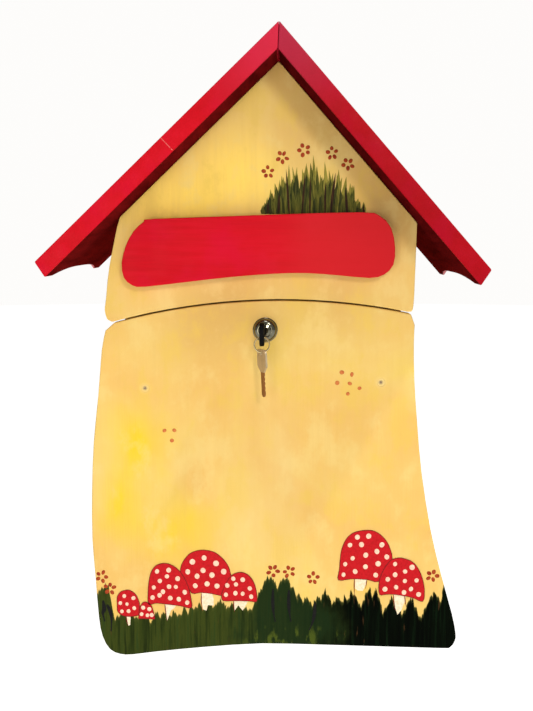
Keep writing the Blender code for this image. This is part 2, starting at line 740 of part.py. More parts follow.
def make_cam(plug_pivot, materials):
    """A cranked catch: flat at the plug, stepped forward past the nut, flat behind the gable."""
    thickness = 0.002
    base, tip = 0.0251, 0.0194
    start, end = 0.0150, 0.0205
    section = [
        (-0.0085, base), (start, base), (end, tip), (CAM_REACH, tip),
        (CAM_REACH, tip + thickness), (end + 0.0008, tip + thickness),
        (start + 0.0008, base + thickness), (-0.0085, base + thickness),
    ]
    cam = prism(
        "lock_cam",
        section,
        lambda x, y: LOCK_AXIS + Vector((x, y, -CAM_HALF_WIDTH - 0.0015)),
        Vector((0, 0, 2 * CAM_HALF_WIDTH + 0.003)),
        materials["zinc"],
    )
    shape = arc((0, 0), 0.0085, math.radians(60), math.radians(300), 14)
    shape += [(0.014, -CAM_HALF_WIDTH), (CAM_REACH - 0.004, -CAM_HALF_WIDTH)]
    shape += arc((CAM_REACH - 0.004, -0.003), 0.004, -math.pi / 2, 0, 4)[1:]
    shape += arc((CAM_REACH - 0.004, 0.003), 0.004, 0, math.pi / 2, 4)
    shape += [(0.014, CAM_HALF_WIDTH)]
    keep = prism(
        "cam_outline", shape, lambda x, z: LOCK_AXIS + Vector((x, 0.010, z)), Vector((0, 0.030, 0))
    )
    combine(cam, keep, "INTERSECT")
    eye = rod("cam_eye", LOCK_AXIS + Vector((0, 0.020, 0)), LOCK_AXIS + Vector((0, 0.030, 0)), 0.0039, 20)
    hang(cut(cam, eye), plug_pivot)


def bow_outline(center, half_length, half_height, steps=28):
    """A rounded square."""
    points = []
    for i in range(steps):
        angle = 2 * math.pi * i / steps
        c, s = math.cos(angle), math.sin(angle)
        u = math.copysign(abs(c) ** 0.75, c) * half_length
        v = math.copysign(abs(s) ** 0.75, s) * half_height
        points.append((center[0] + u, center[1] + v))
    return points


def blade_outline(start, end, half):
    """A key's blade from its shoulder to its tip, with the cuts along one edge."""
    cuts, pitch = 5, 0.0036
    first = end + 0.0035
    lower = [(end, -half + 0.0022), (end + 0.0018, -half)]
    for i in range(cuts):
        at = first + i * pitch
        depth = 0.0012 + 0.0007 * (i % 3)
        lower += [(at, -half), (at + 0.0011, -half + depth), (at + 0.0022, -half + depth)]
        lower += [(at + 0.0033, -half)]
    return [(start, half), (end + 0.0018, half), (end, half - 0.0022), *lower, (start, -half)]


def make_keys(plug_pivot, materials):
    key_pivot = pivot("key_slide", LOCK_AXIS, plug_pivot)

    def ahead(x):
        return lambda a, z: LOCK_AXIS + Vector((x, -a, z))

    bow_low = BOW_OFFSET - BOW_THICKNESS / 2
    head = prism(
        "key", bow_outline((0.0228, -0.0023), 0.0118, 0.0118), ahead(bow_low), Vector((BOW_THICKNESS, 0, 0)),
        materials["black"],
    )
    rounded(head, 0.0009, 2)
    blade = prism("key_blade", blade_outline(0.016, -0.0165, 0.0037), ahead(-0.001), Vector((0.002, 0, 0)))
    join(head, blade)
    hole_a, hole_z = BOW_HOLE
    hole_start = LOCK_AXIS + Vector((-0.01, -hole_a, hole_z))
    cut(head, rod("key_hole", hole_start, hole_start + Vector((0.02, 0, 0)), 0.0026, 20))
    hang(head, key_pivot)

    ring_pivot = pivot("ring_pivot", BOW_HOLE_AT, key_pivot)
    bm = bmesh.new()
    section = bmesh.ops.create_circle(bm, segments=8, radius=RING_WIRE)
    turn = Matrix.Rotation(math.pi / 2, 4, "Y")
    shift = Matrix.Translation((0, 0, RING_RADIUS))
    bmesh.ops.transform(bm, matrix=shift @ turn, verts=section["verts"])
    bmesh.ops.spin(
        bm, geom=bm.verts[:] + bm.edges[:], cent=(0, 0, 0), axis=(0, 1, 0), angle=2 * math.pi, steps=40,
        use_merge=True,
    )
    bmesh.ops.remove_doubles(bm, verts=bm.verts, dist=1e-6)
    bmesh.ops.translate(bm, verts=bm.verts, vec=RING_AT)
    hang(smooth(add("key_ring", bm, materials["nickel"])), ring_pivot)

    spare_pivot = pivot("spare_pivot", RING_AT, ring_pivot)
    hole_at = RING_AT + Vector((0, 0, -RING_RADIUS - SPARE_DROP))
    side = SPARE_LEAN @ Vector((math.sin(SPARE_TURN), -math.cos(SPARE_TURN), 0))
    normal = SPARE_LEAN @ Vector((math.cos(SPARE_TURN), math.sin(SPARE_TURN), 0))
    up = SPARE_LEAN @ Vector((0, 0, 1))
    thickness = 0.0019
    top, shoulder, tip, half_bow, half_blade = 0.004, -0.0185, -0.0430, 0.0119, 0.00325
    teeth = [(shoulder - 0.0045 - 0.0044 * i, half_blade) for i in range(4)]
    outline = arc((half_bow - 0.005, top - 0.005), 0.005, 0, math.pi / 2, 5)
    outline += arc((-half_bow + 0.005, top - 0.005), 0.005, math.pi / 2, math.pi, 5)
    outline += [(-half_bow, shoulder + 0.006), (-half_blade - 0.001, shoulder), (-half_blade, shoulder)]
    outline += [(-half_blade, tip + 0.002), (-half_blade + 0.002, tip), (half_blade - 0.002, tip)]
    outline += [(half_blade, tip + 0.002)]
    for height, edge in teeth[::-1]:
        outline += [(edge, height - 0.0014), (edge - 0.0014, height), (edge, height + 0.0014)]
    outline += [(half_blade, shoulder), (half_blade + 0.001, shoulder), (half_bow, shoulder + 0.006)]
    spare = prism(
        "spare_key",
        outline,
        lambda a, b: hole_at + side * a + up * b - normal * (thickness / 2),
        normal * thickness,
        materials["nickel"],
    )
    cut(spare, rod("spare_hole", hole_at - normal * 0.005, hole_at + normal * 0.005, 0.0024, 20))
    hang(spare, spare_pivot)


def main():
    for old in list(bpy.data.objects):
        bpy.data.objects.remove(old)
    materials = make_materials()
    make_back_panel(materials)
    for side in ("left", "right"):
        make_side(side, materials)
        make_roof_board(side, materials)
    make_floor(materials)
    make_gable(materials)
    make_ridge_block(materials)
    make_flap(materials)
    make_door(materials)


main()
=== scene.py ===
# %% [markdown]
# # A hand-painted wall mailbox
# The real object is a small crooked house of sawn boards, painted by hand: a red roof and flap, yellow front
# boards, toadstools and grass along the bottom, a small cam lock with its key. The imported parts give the
# shapes, and this lesson gives them their finish and adds what a painter's brush and a few screws add.

import json
import math
import random

import bpy
from mathutils import Matrix, Vector

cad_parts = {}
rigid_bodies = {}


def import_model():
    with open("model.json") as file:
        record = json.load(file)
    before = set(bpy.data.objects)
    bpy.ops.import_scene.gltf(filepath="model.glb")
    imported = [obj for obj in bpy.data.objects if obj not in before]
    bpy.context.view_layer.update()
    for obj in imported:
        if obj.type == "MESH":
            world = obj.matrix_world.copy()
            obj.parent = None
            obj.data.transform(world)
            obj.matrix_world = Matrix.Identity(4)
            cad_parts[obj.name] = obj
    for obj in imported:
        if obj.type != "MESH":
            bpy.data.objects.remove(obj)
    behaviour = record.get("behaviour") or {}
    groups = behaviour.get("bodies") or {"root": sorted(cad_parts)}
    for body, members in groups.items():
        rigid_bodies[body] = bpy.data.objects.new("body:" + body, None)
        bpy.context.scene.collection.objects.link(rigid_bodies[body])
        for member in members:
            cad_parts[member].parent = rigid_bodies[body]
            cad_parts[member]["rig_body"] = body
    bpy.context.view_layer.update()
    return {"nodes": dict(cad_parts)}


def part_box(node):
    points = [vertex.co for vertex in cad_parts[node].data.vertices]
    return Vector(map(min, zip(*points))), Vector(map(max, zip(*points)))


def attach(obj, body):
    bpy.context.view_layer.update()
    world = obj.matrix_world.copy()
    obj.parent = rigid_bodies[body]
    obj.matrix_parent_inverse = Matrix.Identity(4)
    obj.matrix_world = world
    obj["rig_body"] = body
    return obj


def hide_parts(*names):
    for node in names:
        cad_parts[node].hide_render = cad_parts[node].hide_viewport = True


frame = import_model()
nodes = frame["nodes"]

# %% [markdown]
# The front boards' outer faces lie in one plane, and most of the painting is on it. Reading that plane, the
# lock's centre and the ridge's height from the parts themselves keeps everything else in step with them. The
# ridge's place across and the two pitches of the roof are repeated from the design.

# %% Planes and points that the rest is set out from
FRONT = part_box("door_panel")[0].y
DOOR_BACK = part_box("door_panel")[1].y
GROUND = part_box("door_panel")[0].z
LOCK = (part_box("lock_housing")[0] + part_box("lock_housing")[1]) / 2
RIDGE_X = 0.0178
RIDGE = Vector((RIDGE_X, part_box("roof_left")[0].y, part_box("roof_left")[1].z))
ROOF_PITCH = {"left": math.radians(43.7), "right": math.radians(48.8)}
print("front plane at", round(FRONT, 4), "lock at", [round(c, 4) for c in LOCK])

# %% [markdown]
# A camera a little over a metre away, level with the flap and looking slightly down, shows the front
# almost square on with the underside of both eaves. Turning the camera frames the object, so that no lens
# shift is needed and every other view stays centred.

# %% The camera
camera = bpy.data.objects.new("camera", bpy.data.cameras.new("camera"))
bpy.context.scene.collection.objects.link(camera)
camera.location = (0.031, -1.275, 0.193)
LOOK_DOWN, LOOK_LEFT = math.radians(6.508), math.radians(1.416)
camera.rotation_euler = (math.radians(90) - LOOK_DOWN, 0, LOOK_LEFT)
camera.data.lens = 53.9
camera.data.sensor_width = 36
bpy.context.scene.camera = camera
print("camera at", [round(c, 3) for c in camera.location])

# %% [markdown]
# The light is a plain studio. The surround is white to look at, but it lights the object at less than half of
# that, because a satin paint or a chrome lock in an all-white room looks milky and throws no shadow. A soft
# key light from the upper right throws the short shadows under the flap and the roof. A raking light high on
# the right shades the boards under the right eave. A weak light from above, a fill from the left and a faint
# spot on the gable keep the rest from going dark. All five are aimed the same way, so one helper does that.

# %% Light
bpy.context.scene.view_settings.view_transform = "Standard"
SEEN, FELT = 0.985, 0.42
surround = bpy.data.worlds.new("pale_surround")
surround.use_nodes = True
tree = surround.node_tree
background = tree.nodes["Background"]
background.inputs["Color"].default_value = (1.0, 0.99, 0.975, 1)
seen = tree.nodes.new("ShaderNodeLightPath").outputs["Is Camera Ray"]
strength = tree.nodes.new("ShaderNodeMapRange")
strength.inputs["To Min"].default_value = FELT
strength.inputs["To Max"].default_value = SEEN
tree.links.new(seen, strength.inputs["Value"])
tree.links.new(strength.outputs[0], background.inputs["Strength"])
bpy.context.scene.world = surround


def hang_lamp(lamp, place, aim, power, color):
    """Puts a lamp at a place, turned towards what it lights."""
    lamp.energy = power
    lamp.color = color
    holder = bpy.data.objects.new(lamp.name, lamp)
    bpy.context.scene.collection.objects.link(holder)
    holder.location = place
    holder.rotation_euler = (Vector(aim) - Vector(place)).to_track_quat("-Z", "Y").to_euler()


def add_light(name, place, aim, size, power, color):
    lamp = bpy.data.lights.new(name, "AREA")
    lamp.shape = "DISK"
    lamp.size = size
    hang_lamp(lamp, place, aim, power, color)


add_light("key_light", (0.46, -2.11, 0.80), (0, -0.2, 0.08), 0.34, 11.4, (1.0, 0.96, 0.89))
add_light("top_light", (0.05, -0.70, 1.20), (0, -0.2, 0.35), 0.35, 2, (0.86, 0.9, 1.0))
add_light("raking_light", (1.9, -0.95, 2.9), (0, -0.21, 0.0), 0.20, 55, (1.0, 0.98, 0.92))
add_light("fill_light", (-0.45, -1.8, 0.02), (-0.05, -0.2, 0.20), 0.60, 4.0, (1.0, 0.96, 0.90))
spot_lamp = bpy.data.lights.new("gable_light", "SPOT")
spot_lamp.spot_size = math.radians(17)
spot_lamp.spot_blend = 1.0
spot_lamp.shadow_soft_size = 0.18
hang_lamp(spot_lamp, (-0.35, -1.25, 0.12), (-0.115, -0.21, 0.215), 5.0, (1.0, 0.97, 0.90))

# %% [markdown]
# The floor is a wide round sheet of white paper well below the box, because this object hangs and doesn't
# stand. It glows, like paper on a light table, so that it meets the white surround without a line.


# %% The floor
def deselect_all():
    if bpy.context.object and bpy.context.object.mode != "OBJECT":
        bpy.ops.object.mode_set(mode="OBJECT")
    bpy.ops.object.select_all(action="DESELECT")


def only(piece):
    """Makes one object the selected and active one."""
    deselect_all()
    piece.select_set(True)
    bpy.context.view_layer.objects.active = piece


FLOOR_DROP = 0.55
deselect_all()
bpy.ops.mesh.primitive_circle_add(
    vertices=96, radius=14, fill_type="NGON", location=(0, 0, GROUND - FLOOR_DROP)
)
floor = bpy.context.object
floor.name = "floor"
floor_paper = bpy.data.materials.new("lit_white_paper")
floor_paper.use_nodes = True
paper = floor_paper.node_tree.nodes["Principled BSDF"].inputs
paper["Base Color"].default_value = (0.90, 0.895, 0.89, 1)
paper["Roughness"].default_value = 0.9
paper["Emission Color"].default_value = (1.0, 0.99, 0.975, 1)
paper["Emission Strength"].default_value = 0.66
floor.data.materials.append(floor_paper)
print("floor at", round(floor.location.z, 3))

# %% [markdown]
# Each finish is a small network of nodes. The same few steps come back in all of them: a noise stretched
# along the grain or the brush, a ramp that turns it into colours, a mix, and a bump. They are written here
# once, as a bench that holds one material.


# %% A bench for building finishes
class Bench:
    """One material, and the few node recipes that all the finishes share."""

    def __init__(self, name, roughness=0.5, metallic=0.0, **shader_values):
        self.material = bpy.data.materials.new(name)
        self.material.use_nodes = True
        self.tree = self.material.node_tree
        self.shader = self.tree.nodes["Principled BSDF"]
        self.shader.inputs["Roughness"].default_value = roughness
        self.shader.inputs["Metallic"].default_value = metallic
        for socket, value in shader_values.items():
            self.shader.inputs[socket.replace("_", " ")].default_value = value
        self.place = self.node("ShaderNodeTexCoord").outputs["Object"]

    def node(self, kind, values=None, **settings):
        made = self.tree.nodes.new(kind)
        for setting, value in settings.items():
            setattr(made, setting, value)
        for socket, value in (values or {}).items():
            self.put(made.inputs[socket], value)
        return made

    def put(self, socket, value):
        """Sets a socket to a number or colour, or links it to another node's output."""
        if isinstance(value, bpy.types.NodeSocket):
            self.tree.links.new(value, socket)
        elif socket.type == "RGBA" and len(value) == 3:
            socket.default_value = (*value, 1)
        else:
            socket.default_value = value

    def math(self, operation, a, b=0.0, clamp=False):
        return self.node("ShaderNodeMath", {0: a, 1: b}, operation=operation, use_clamp=clamp).outputs[0]

    def axis(self, which):
        split = self.node("ShaderNodeSeparateXYZ", {0: self.place})
        return split.outputs["XYZ".index(which)]

    def stretched(self, scale, shift):
        mapping = self.node("ShaderNodeMapping", {"Vector": self.place, "Location": shift})
        mapping.inputs["Scale"].default_value = scale
        return mapping.outputs[0]

    def noise(self, scale, shift=(0, 0, 0), detail=3.0, rough=0.55, twist=0.0):
        values = {
            "Vector": self.stretched(scale, shift), "Scale": 1.0, "Detail": detail,
            "Roughness": rough, "Distortion": twist,
        }
        return self.node("ShaderNodeTexNoise", values).outputs["Fac"]

    def span(self, value, low, high, to_low=0.0, to_high=1.0, smooth=True):
        values = {"Value": value, "From Min": low, "From Max": high, "To Min": to_low, "To Max": to_high}
        kind = "SMOOTHSTEP" if smooth else "LINEAR"
        return self.node("ShaderNodeMapRange", values, interpolation_type=kind).outputs[0]

    def ramp(self, value, stops):
        made = self.node("ShaderNodeValToRGB", {0: value})
        elements = made.color_ramp.elements
        while len(elements) < len(stops):
            elements.new(0.5)
        for element, (at, color) in zip(elements, stops):
            element.position = at
            element.color = (*color, 1)
        return made.outputs[0]

    def mix(self, share, a, b):
        made = self.node("ShaderNodeMix", data_type="RGBA", clamp_factor=True)
        for socket, value in ((made.inputs[0], share), (made.inputs[6], a), (made.inputs[7], b)):
            self.put(socket, value)
        return made.outputs[2]

    def near(self, point, reach):
        """1 at a point, falling softly to 0 at a distance."""
        away = self.node("ShaderNodeVectorMath", {0: self.place, 1: point}, operation="DISTANCE")
        return self.span(away.outputs["Value"], 0.0, reach, 1.0, 0.0)

    def bump(self, height, strength, distance, under=None):
        values = {"Height": height, "Strength": strength, "Distance": distance}
        if under is not None:
            values["Normal"] = under
        return self.node("ShaderNodeBump", values).outputs[0]

    def finish(self, color, roughness, normal):
        for socket, value in (("Base Color", color), ("Roughness", roughness), ("Normal", normal)):
            self.put(self.shader.inputs[socket], value)
        return self.material


print("bench ready")

# %% [markdown]
# The yellow is a thin wash over primer, brushed on by hand: warm where it is thin, lemon where it is thick,
# with broad patches, clouds a few centimetres across and faint strokes up and down the board. Noise at
# several sizes gives these, and the tooth of the paint. Some patches have a place of their own: lemon ones,
# lighter ones on the left of the gable, which are painted light, and duller brown ones under the flap and
# under the right eave, which are painted shade. Over each of the door's two screws the colour has a small
# ragged grey-brown spot in a paler ring.

# %% Yellow brushed paint
LEMON_PATCHES = [
    ((-0.061, FRONT, 0.221), 0.045), ((-0.138, FRONT, -0.022), 0.062), ((-0.092, FRONT, -0.112), 0.060),
    ((-0.150, FRONT, -0.085), 0.050),
]
# Painted light: a brighter yellow on the left of the gable.
PAINTED_LIGHT_PATCHES = [((-0.090, FRONT, 0.215), 0.085), ((-0.025, FRONT, 0.250), 0.070)]
# Painted shade: duller brown yellow under the flap and under the right eave, where those boards throw shade.
PAINTED_SHADE_PATCHES = [
    ((-0.020, FRONT, 0.128), 0.085), ((0.075, FRONT, 0.132), 0.085), ((0.060, FRONT, 0.300), 0.070),
    ((0.125, FRONT, 0.215), 0.060), ((-0.060, FRONT, 0.105), 0.070),
]
# Where the grey-brown spots over the door's two screws sit, a little left of and above each head.
MARK_LEFT, MARK_UP = 0.0004, 0.0003
SCREW_MARKS = []
for screw_name in ("door_screw_left", "door_screw_right"):
    head = (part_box(screw_name)[0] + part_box(screw_name)[1]) / 2
    SCREW_MARKS.append((head.x - MARK_LEFT, FRONT, head.z + MARK_UP))


def yellow_color(bench):
    patches = bench.noise((7, 7, 7), detail=4, rough=0.6, twist=0.6)
    color = bench.ramp(patches, [
        (0.26, (0.73, 0.43, 0.120)), (0.42, (0.765, 0.485, 0.140)), (0.55, (0.775, 0.535, 0.160)),
        (0.70, (0.780, 0.560, 0.125)), (0.84, (0.760, 0.530, 0.050)),
    ])
    for point, reach in LEMON_PATCHES:
        edge = bench.math("MULTIPLY", bench.near(point, reach), bench.noise((26, 26, 14), detail=3))
        color = bench.mix(bench.math("MULTIPLY", edge, 1.5, True), color, (0.775, 0.555, 0.016))
    # Painted light: brighten the yellow at the places above.
    for point, reach in PAINTED_LIGHT_PATCHES:
        color = bench.mix(bench.math("MULTIPLY", bench.near(point, reach), 0.95), color, (0.97, 0.67, 0.12))
    # Painted shade: dull the yellow towards brown at the places above.
    for point, reach in PAINTED_SHADE_PATCHES:
        color = bench.mix(bench.math("MULTIPLY", bench.near(point, reach), 0.55), color, (0.60, 0.36, 0.105))
    mottle = bench.noise((24, 24, 17), shift=(8, 2, 5), detail=5, rough=0.65)
    color = bench.mix(bench.span(mottle, 0.50, 0.66, 0.0, 0.50), color, (0.80, 0.60, 0.22))
    color = bench.mix(bench.span(mottle, 0.36, 0.50, 0.45, 0.0), color, (0.75, 0.51, 0.085))
    strokes = bench.noise((150, 40, 8), detail=5, rough=0.65)
    color = bench.mix(bench.span(strokes, 0.35, 0.75, 0.0, 0.20), color, (0.68, 0.43, 0.12))
    blush = bench.noise((10, 10, 5), shift=(3.1, 1.7, 0.4), detail=3)
    color = bench.mix(bench.span(blush, 0.55, 0.8, 0.0, 0.45), color, (0.80, 0.58, 0.25))
    # Over each door screw: a paler ring, with a ragged grey-brown spot in it.
    for point in SCREW_MARKS:
        color = bench.mix(bench.math("MULTIPLY", bench.near(point, 0.0075), 0.5), color, (0.86, 0.68, 0.33))
        ragged = bench.math("MULTIPLY", bench.near(point, 0.0032), bench.noise((900, 900, 900), detail=3))
        color = bench.mix(bench.math("MULTIPLY", ragged, 2.4, True), color, (0.24, 0.17, 0.10))
    return color


def paint_surface(bench):
    """The tooth of brushed paint over a planed board: strokes, and fine orange peel on top."""
    strength = 0.16
    ridges = bench.noise((420, 160, 16), detail=4, rough=0.6)
    peel = bench.noise((900, 900, 900), detail=2)
    first = bench.bump(ridges, strength, 0.0012)
    return bench.bump(peel, strength * 0.6, 0.0004, first)


def yellow_paint(name):
    bench = Bench(name, roughness=0.46, Specular_IOR_Level=0.14)
    gloss = bench.span(bench.noise((30, 30, 12), detail=4), 0.3, 0.7, 0.40, 0.58)
    return bench.finish(yellow_color(bench), gloss, paint_surface(bench))


yellow = yellow_paint("yellow_brushed_paint")
print("made", yellow.name, len(yellow.node_tree.nodes), "nodes")

# %% [markdown]
# Along the bottom of the door the painter pulled a loaded brush upwards to make grass: a green band whose top
# is a row of pointed tips, olive at the left and almost black at the right. A curve gives the height of the
# band along the board, and the distance to the nearest of many points along a line gives the pointed tips.
# Because it is paint, it belongs in the door's finish, where it wraps round the edge but leaves the inner
# face alone.

# %% The painted grass band
BAND_LEFT, BAND_RIGHT = -0.180, 0.205
BAND_LOW, BAND_HIGH = -0.215, -0.155
GRASS_TOPS = [
    (-0.176, -0.1690), (-0.160, -0.1700), (-0.1535, -0.1960), (-0.135, -0.1975), (-0.100, -0.1985),
    (-0.075, -0.1915), (-0.045, -0.1850), (-0.016, -0.1860), (-0.003, -0.1760), (0.0065, -0.1600),
    (0.028, -0.1600), (0.040, -0.1800), (0.055, -0.1810), (0.066, -0.1730), (0.080, -0.1800),
    (0.095, -0.1720), (0.112, -0.1700), (0.125, -0.1780), (0.150, -0.1810), (0.165, -0.1800),
    (0.180, -0.1700), (0.195, -0.1620),
]


def grass_height(bench, across):
    """The height of the grass at a place across the board, from a curve through GRASS_TOPS."""
    share = bench.span(across, BAND_LEFT, BAND_RIGHT, smooth=False)
    curve = bench.node("ShaderNodeFloatCurve", {"Value": share})
    points = curve.mapping.curves[0].points
    spots = [((x - BAND_LEFT) / (BAND_RIGHT - BAND_LEFT), (z - BAND_LOW) / (BAND_HIGH - BAND_LOW))
             for x, z in GRASS_TOPS]
    points[0].location, points[-1].location = (0, spots[0][1]), (1, spots[-1][1])
    for spot in spots:
        points.new(*spot)
    curve.mapping.update()
    return bench.span(curve.outputs[0], 0, 1, BAND_LOW, BAND_HIGH, smooth=False)


def tips(bench, across, per_metre, seed):
    """Pointed tips: 0 at each blade's point, rising to about 1 in the notch beside it."""
    along = bench.math("MULTIPLY_ADD", across, per_metre)
    along.node.inputs[2].default_value = seed
    cells = bench.node("ShaderNodeTexVoronoi", {"W": along, "Scale": 1.0}, voronoi_dimensions="1D")
    return cells.outputs["Distance"]


def painted_door(name):
    bench = Bench(name, roughness=0.50, Specular_IOR_Level=0.02)
    board = yellow_color(bench)
    wander = bench.math("MULTIPLY", bench.noise((30, 8, 60), detail=2), 0.006)
    lean = bench.math("ADD", bench.axis("X"), wander)
    depth = bench.span(bench.axis("X"), 0.02, 0.12, 0.013, 0.026)
    top = grass_height(bench, bench.axis("X"))
    top = bench.math("ADD", top, 0.004)
    top = bench.math("SUBTRACT", top, bench.math("MULTIPLY", tips(bench, lean, 95, 3.0), depth))
    top = bench.math("SUBTRACT", top, bench.math("MULTIPLY", tips(bench, lean, 310, 7.0), 0.007))
    above = bench.math("SUBTRACT", top, bench.axis("Z"))
    painted = bench.span(bench.axis("Y"), DOOR_BACK - 0.003, DOOR_BACK - 0.001, 1.0, 0.0)
    cover = bench.math("MULTIPLY", bench.span(above, -0.0008, 0.0016), painted)
    blades = bench.noise((260, 60, 14), detail=5, rough=0.62, twist=0.3)
    left = bench.ramp(blades, [
        (0.28, (0.008, 0.012, 0.003)), (0.42, (0.024, 0.036, 0.006)), (0.54, (0.040, 0.052, 0.008)),
        (0.66, (0.024, 0.044, 0.009)), (0.78, (0.070, 0.066, 0.016)),
    ])
    right = bench.ramp(blades, [
        (0.35, (0.0004, 0.0008, 0.0003)), (0.55, (0.0010, 0.0026, 0.0007)), (0.72, (0.003, 0.010, 0.003)),
        (0.86, (0.014, 0.028, 0.006)),
    ])
    edge = bench.math("ADD", bench.axis("X"), bench.math("MULTIPLY", bench.noise((40, 8, 30)), 0.08))
    green = bench.mix(bench.span(edge, 0.055, 0.135), left, right)
    bluer = bench.span(bench.math("ABSOLUTE", bench.math("SUBTRACT", edge, 0.065)), 0.03, 0.06, 0.8, 0.0)
    green = bench.mix(bluer, green, (0.008, 0.020, 0.006))
    # Painted highlight: lighter yellow-green patches low in the band, around its middle.
    low = bench.span(bench.axis("Z"), -0.222, -0.205, 1.0, 0.0)
    lit = bench.span(bench.noise((150, 60, 60), shift=(2, 7, 1), detail=3), 0.52, 0.66, 0.0, 0.75)
    lit = bench.math("MULTIPLY", bench.math("MULTIPLY", low, lit), bluer)
    green = bench.mix(lit, green, (0.090, 0.120, 0.014))
    fringe = bench.span(above, 0.0, 0.006, 0.55, 0.0)
    green = bench.mix(fringe, green, (0.085, 0.090, 0.020))
    flecks = bench.span(bench.noise((300, 40, 40), shift=(5, 2, 9), detail=2), 0.70, 0.76, 0.0, 0.5)
    green = bench.mix(flecks, green, (0.075, 0.035, 0.012))
    gloss = bench.mix(cover, (0.48, 0.48, 0.48), (0.62, 0.62, 0.62))
    layer = bench.bump(cover, 0.25, 0.0006, paint_surface(bench))
    return bench.finish(bench.mix(cover, board, green), gloss, layer)


grassy = painted_door("yellow_paint_with_grass_band")
print("made", grassy.name, len(grassy.node_tree.nodes), "nodes")

# %% [markdown]
# The red is a thicker satin enamel. It has faint streaks from the brush, broad darker places, slightly pink
# clouds and, near the ridge, a painted pink sheen. On the left roof board there is one thin pale scratch
# across the front edge. The undersides of the eaves get a much darker dull red, which is painted shade, and
# the right roof board is painted darker than the left, as painted shade too.

# %% Red satin paint
def shaded(color, share):
    return tuple(share * c for c in color)


def red_paint(name, brush, shade=1.0, ridge_sheen=0.0, scratch=None, warm=None):
    """brush is the streaks' scale on each axis, shade darkens the red as painted shade, and bloom is the
    share of a painted pink sheen at the ridge.

    scratch is the way across the scratch, its distance that way, and the front edge's Y. warm is the X past
    which the crimson turns slightly orange.
    """
    bench = Bench(name, roughness=0.40, Specular_IOR_Level=0.05)
    deep, main, pink = (0.50, 0.0025, 0.008), (0.57, 0.0030, 0.012), (0.61, 0.0060, 0.022)
    streaks = bench.noise(brush, detail=6, rough=0.7)
    tones = ((0.25, deep), (0.5, main), (0.78, pink))
    color = bench.ramp(streaks, [(at, shaded(tone, shade)) for at, tone in tones])
    clouds = bench.noise((26, 26, 26), shift=(1.3, 4.1, 2.2), detail=4)
    broad = bench.noise(tuple(s / 6 for s in brush), shift=(4.4, 0.7, 3.0), detail=4, rough=0.65)
    color = bench.mix(bench.span(broad, 0.42, 0.70, 0.0, 0.55), color, shaded((0.42, 0.0020, 0.006), shade))
    color = bench.mix(bench.span(clouds, 0.48, 0.72, 0.0, 0.5), color, shaded((0.59, 0.002, 0.028), shade))
    if warm is not None:
        side = bench.math("ADD", bench.axis("X"), bench.math("MULTIPLY", clouds, 0.08))
        color = bench.mix(bench.span(side, warm, warm + 0.09, 0.0, 0.8), color, (0.55, 0.014, 0.018))
    # Painted sheen: the red turns pinker around the ridge.
    if ridge_sheen:
        sheen_share = bench.math("MULTIPLY", bench.near(tuple(RIDGE), 0.115), ridge_sheen)
        color = bench.mix(sheen_share, color, shaded((0.56, 0.045, 0.105), shade))
    if scratch:
        across, place, front_y = scratch
        run = bench.node("ShaderNodeVectorMath", {0: bench.place, 1: across}, operation="DOT_PRODUCT")
        off = bench.math("ABSOLUTE", bench.math("SUBTRACT", run.outputs["Value"], place))
        line = bench.span(off, 0.0001, 0.0005, 0.55, 0.0)
        front = bench.span(bench.axis("Y"), front_y, front_y + 0.002, 1.0, 0.0)
        broken = bench.span(bench.noise((700, 700, 700), detail=2), 0.35, 0.6)
        share = bench.math("MULTIPLY", bench.math("MULTIPLY", line, front), broken)
        color = bench.mix(share, color, (0.80, 0.36, 0.30))
    gloss = bench.span(bench.noise((60, 60, 60), detail=4), 0.3, 0.7, 0.34, 0.50)
    fine = bench.noise(tuple(4 * s for s in brush), detail=3)
    peel = bench.noise((800, 800, 800), detail=2)
    normal = bench.bump(peel, 0.10, 0.0004, bench.bump(fine, 0.12, 0.0010))
    return bench.finish(color, gloss, normal)


def red_painted_underside_shade(name, share):
    """A much darker dull red for the undersides of the eaves, which is painted shade."""
    bench = Bench(name, roughness=0.8, Specular_IOR_Level=0.0)
    grain = bench.noise((70, 9, 70), detail=5, rough=0.65)
    dark, light = shaded((0.070, 0.0030, 0.0030), share), shaded((0.150, 0.0060, 0.0065), share)
    color = bench.ramp(grain, [(0.32, dark), (0.66, light)])
    return bench.finish(color, bench.span(grain, 0.3, 0.7, 0.70, 0.88), bench.bump(grain, 0.22, 0.0012))


left_run = (-math.cos(ROOF_PITCH["left"]), 0.0, -math.sin(ROOF_PITCH["left"]))
SCRATCH_SPOT = Vector((-0.091, 0, 0.281))
scratch_at = SCRATCH_SPOT.dot(Vector(left_run))
# Painted shade: the left roof board is a little darker than the flap, and the right one much darker.
red_left = red_paint(
    "red_enamel_left_roof", (50, 14, 50), 0.90, ridge_sheen=0.40, scratch=(left_run, scratch_at, RIDGE.y)
)
red_right = red_paint("red_enamel_right_roof", (50, 14, 50), 0.62, ridge_sheen=0.60)
red_flap = red_paint("red_enamel_flap", (16, 60, 260), warm=0.02)
shade_under_left = red_painted_underside_shade("red_painted_underside_shade_left", 1.0)
shade_under_right = red_painted_underside_shade("red_painted_underside_shade_right", 0.62)
print("made", red_left.name, red_right.name, red_flap.name, shade_under_left.name, shade_under_right.name)

# %% [markdown]
# The back, the floor, the ridge block and the batten are bare birch plywood. Its face shows long grain, and
# its edges show the layers as thin dark and light stripes. The stripes only belong where the surface turns
# away from the face, so the surface's own direction chooses between the two.


# %% Plywood and bare board
TWO_LAYERS = 0.0030


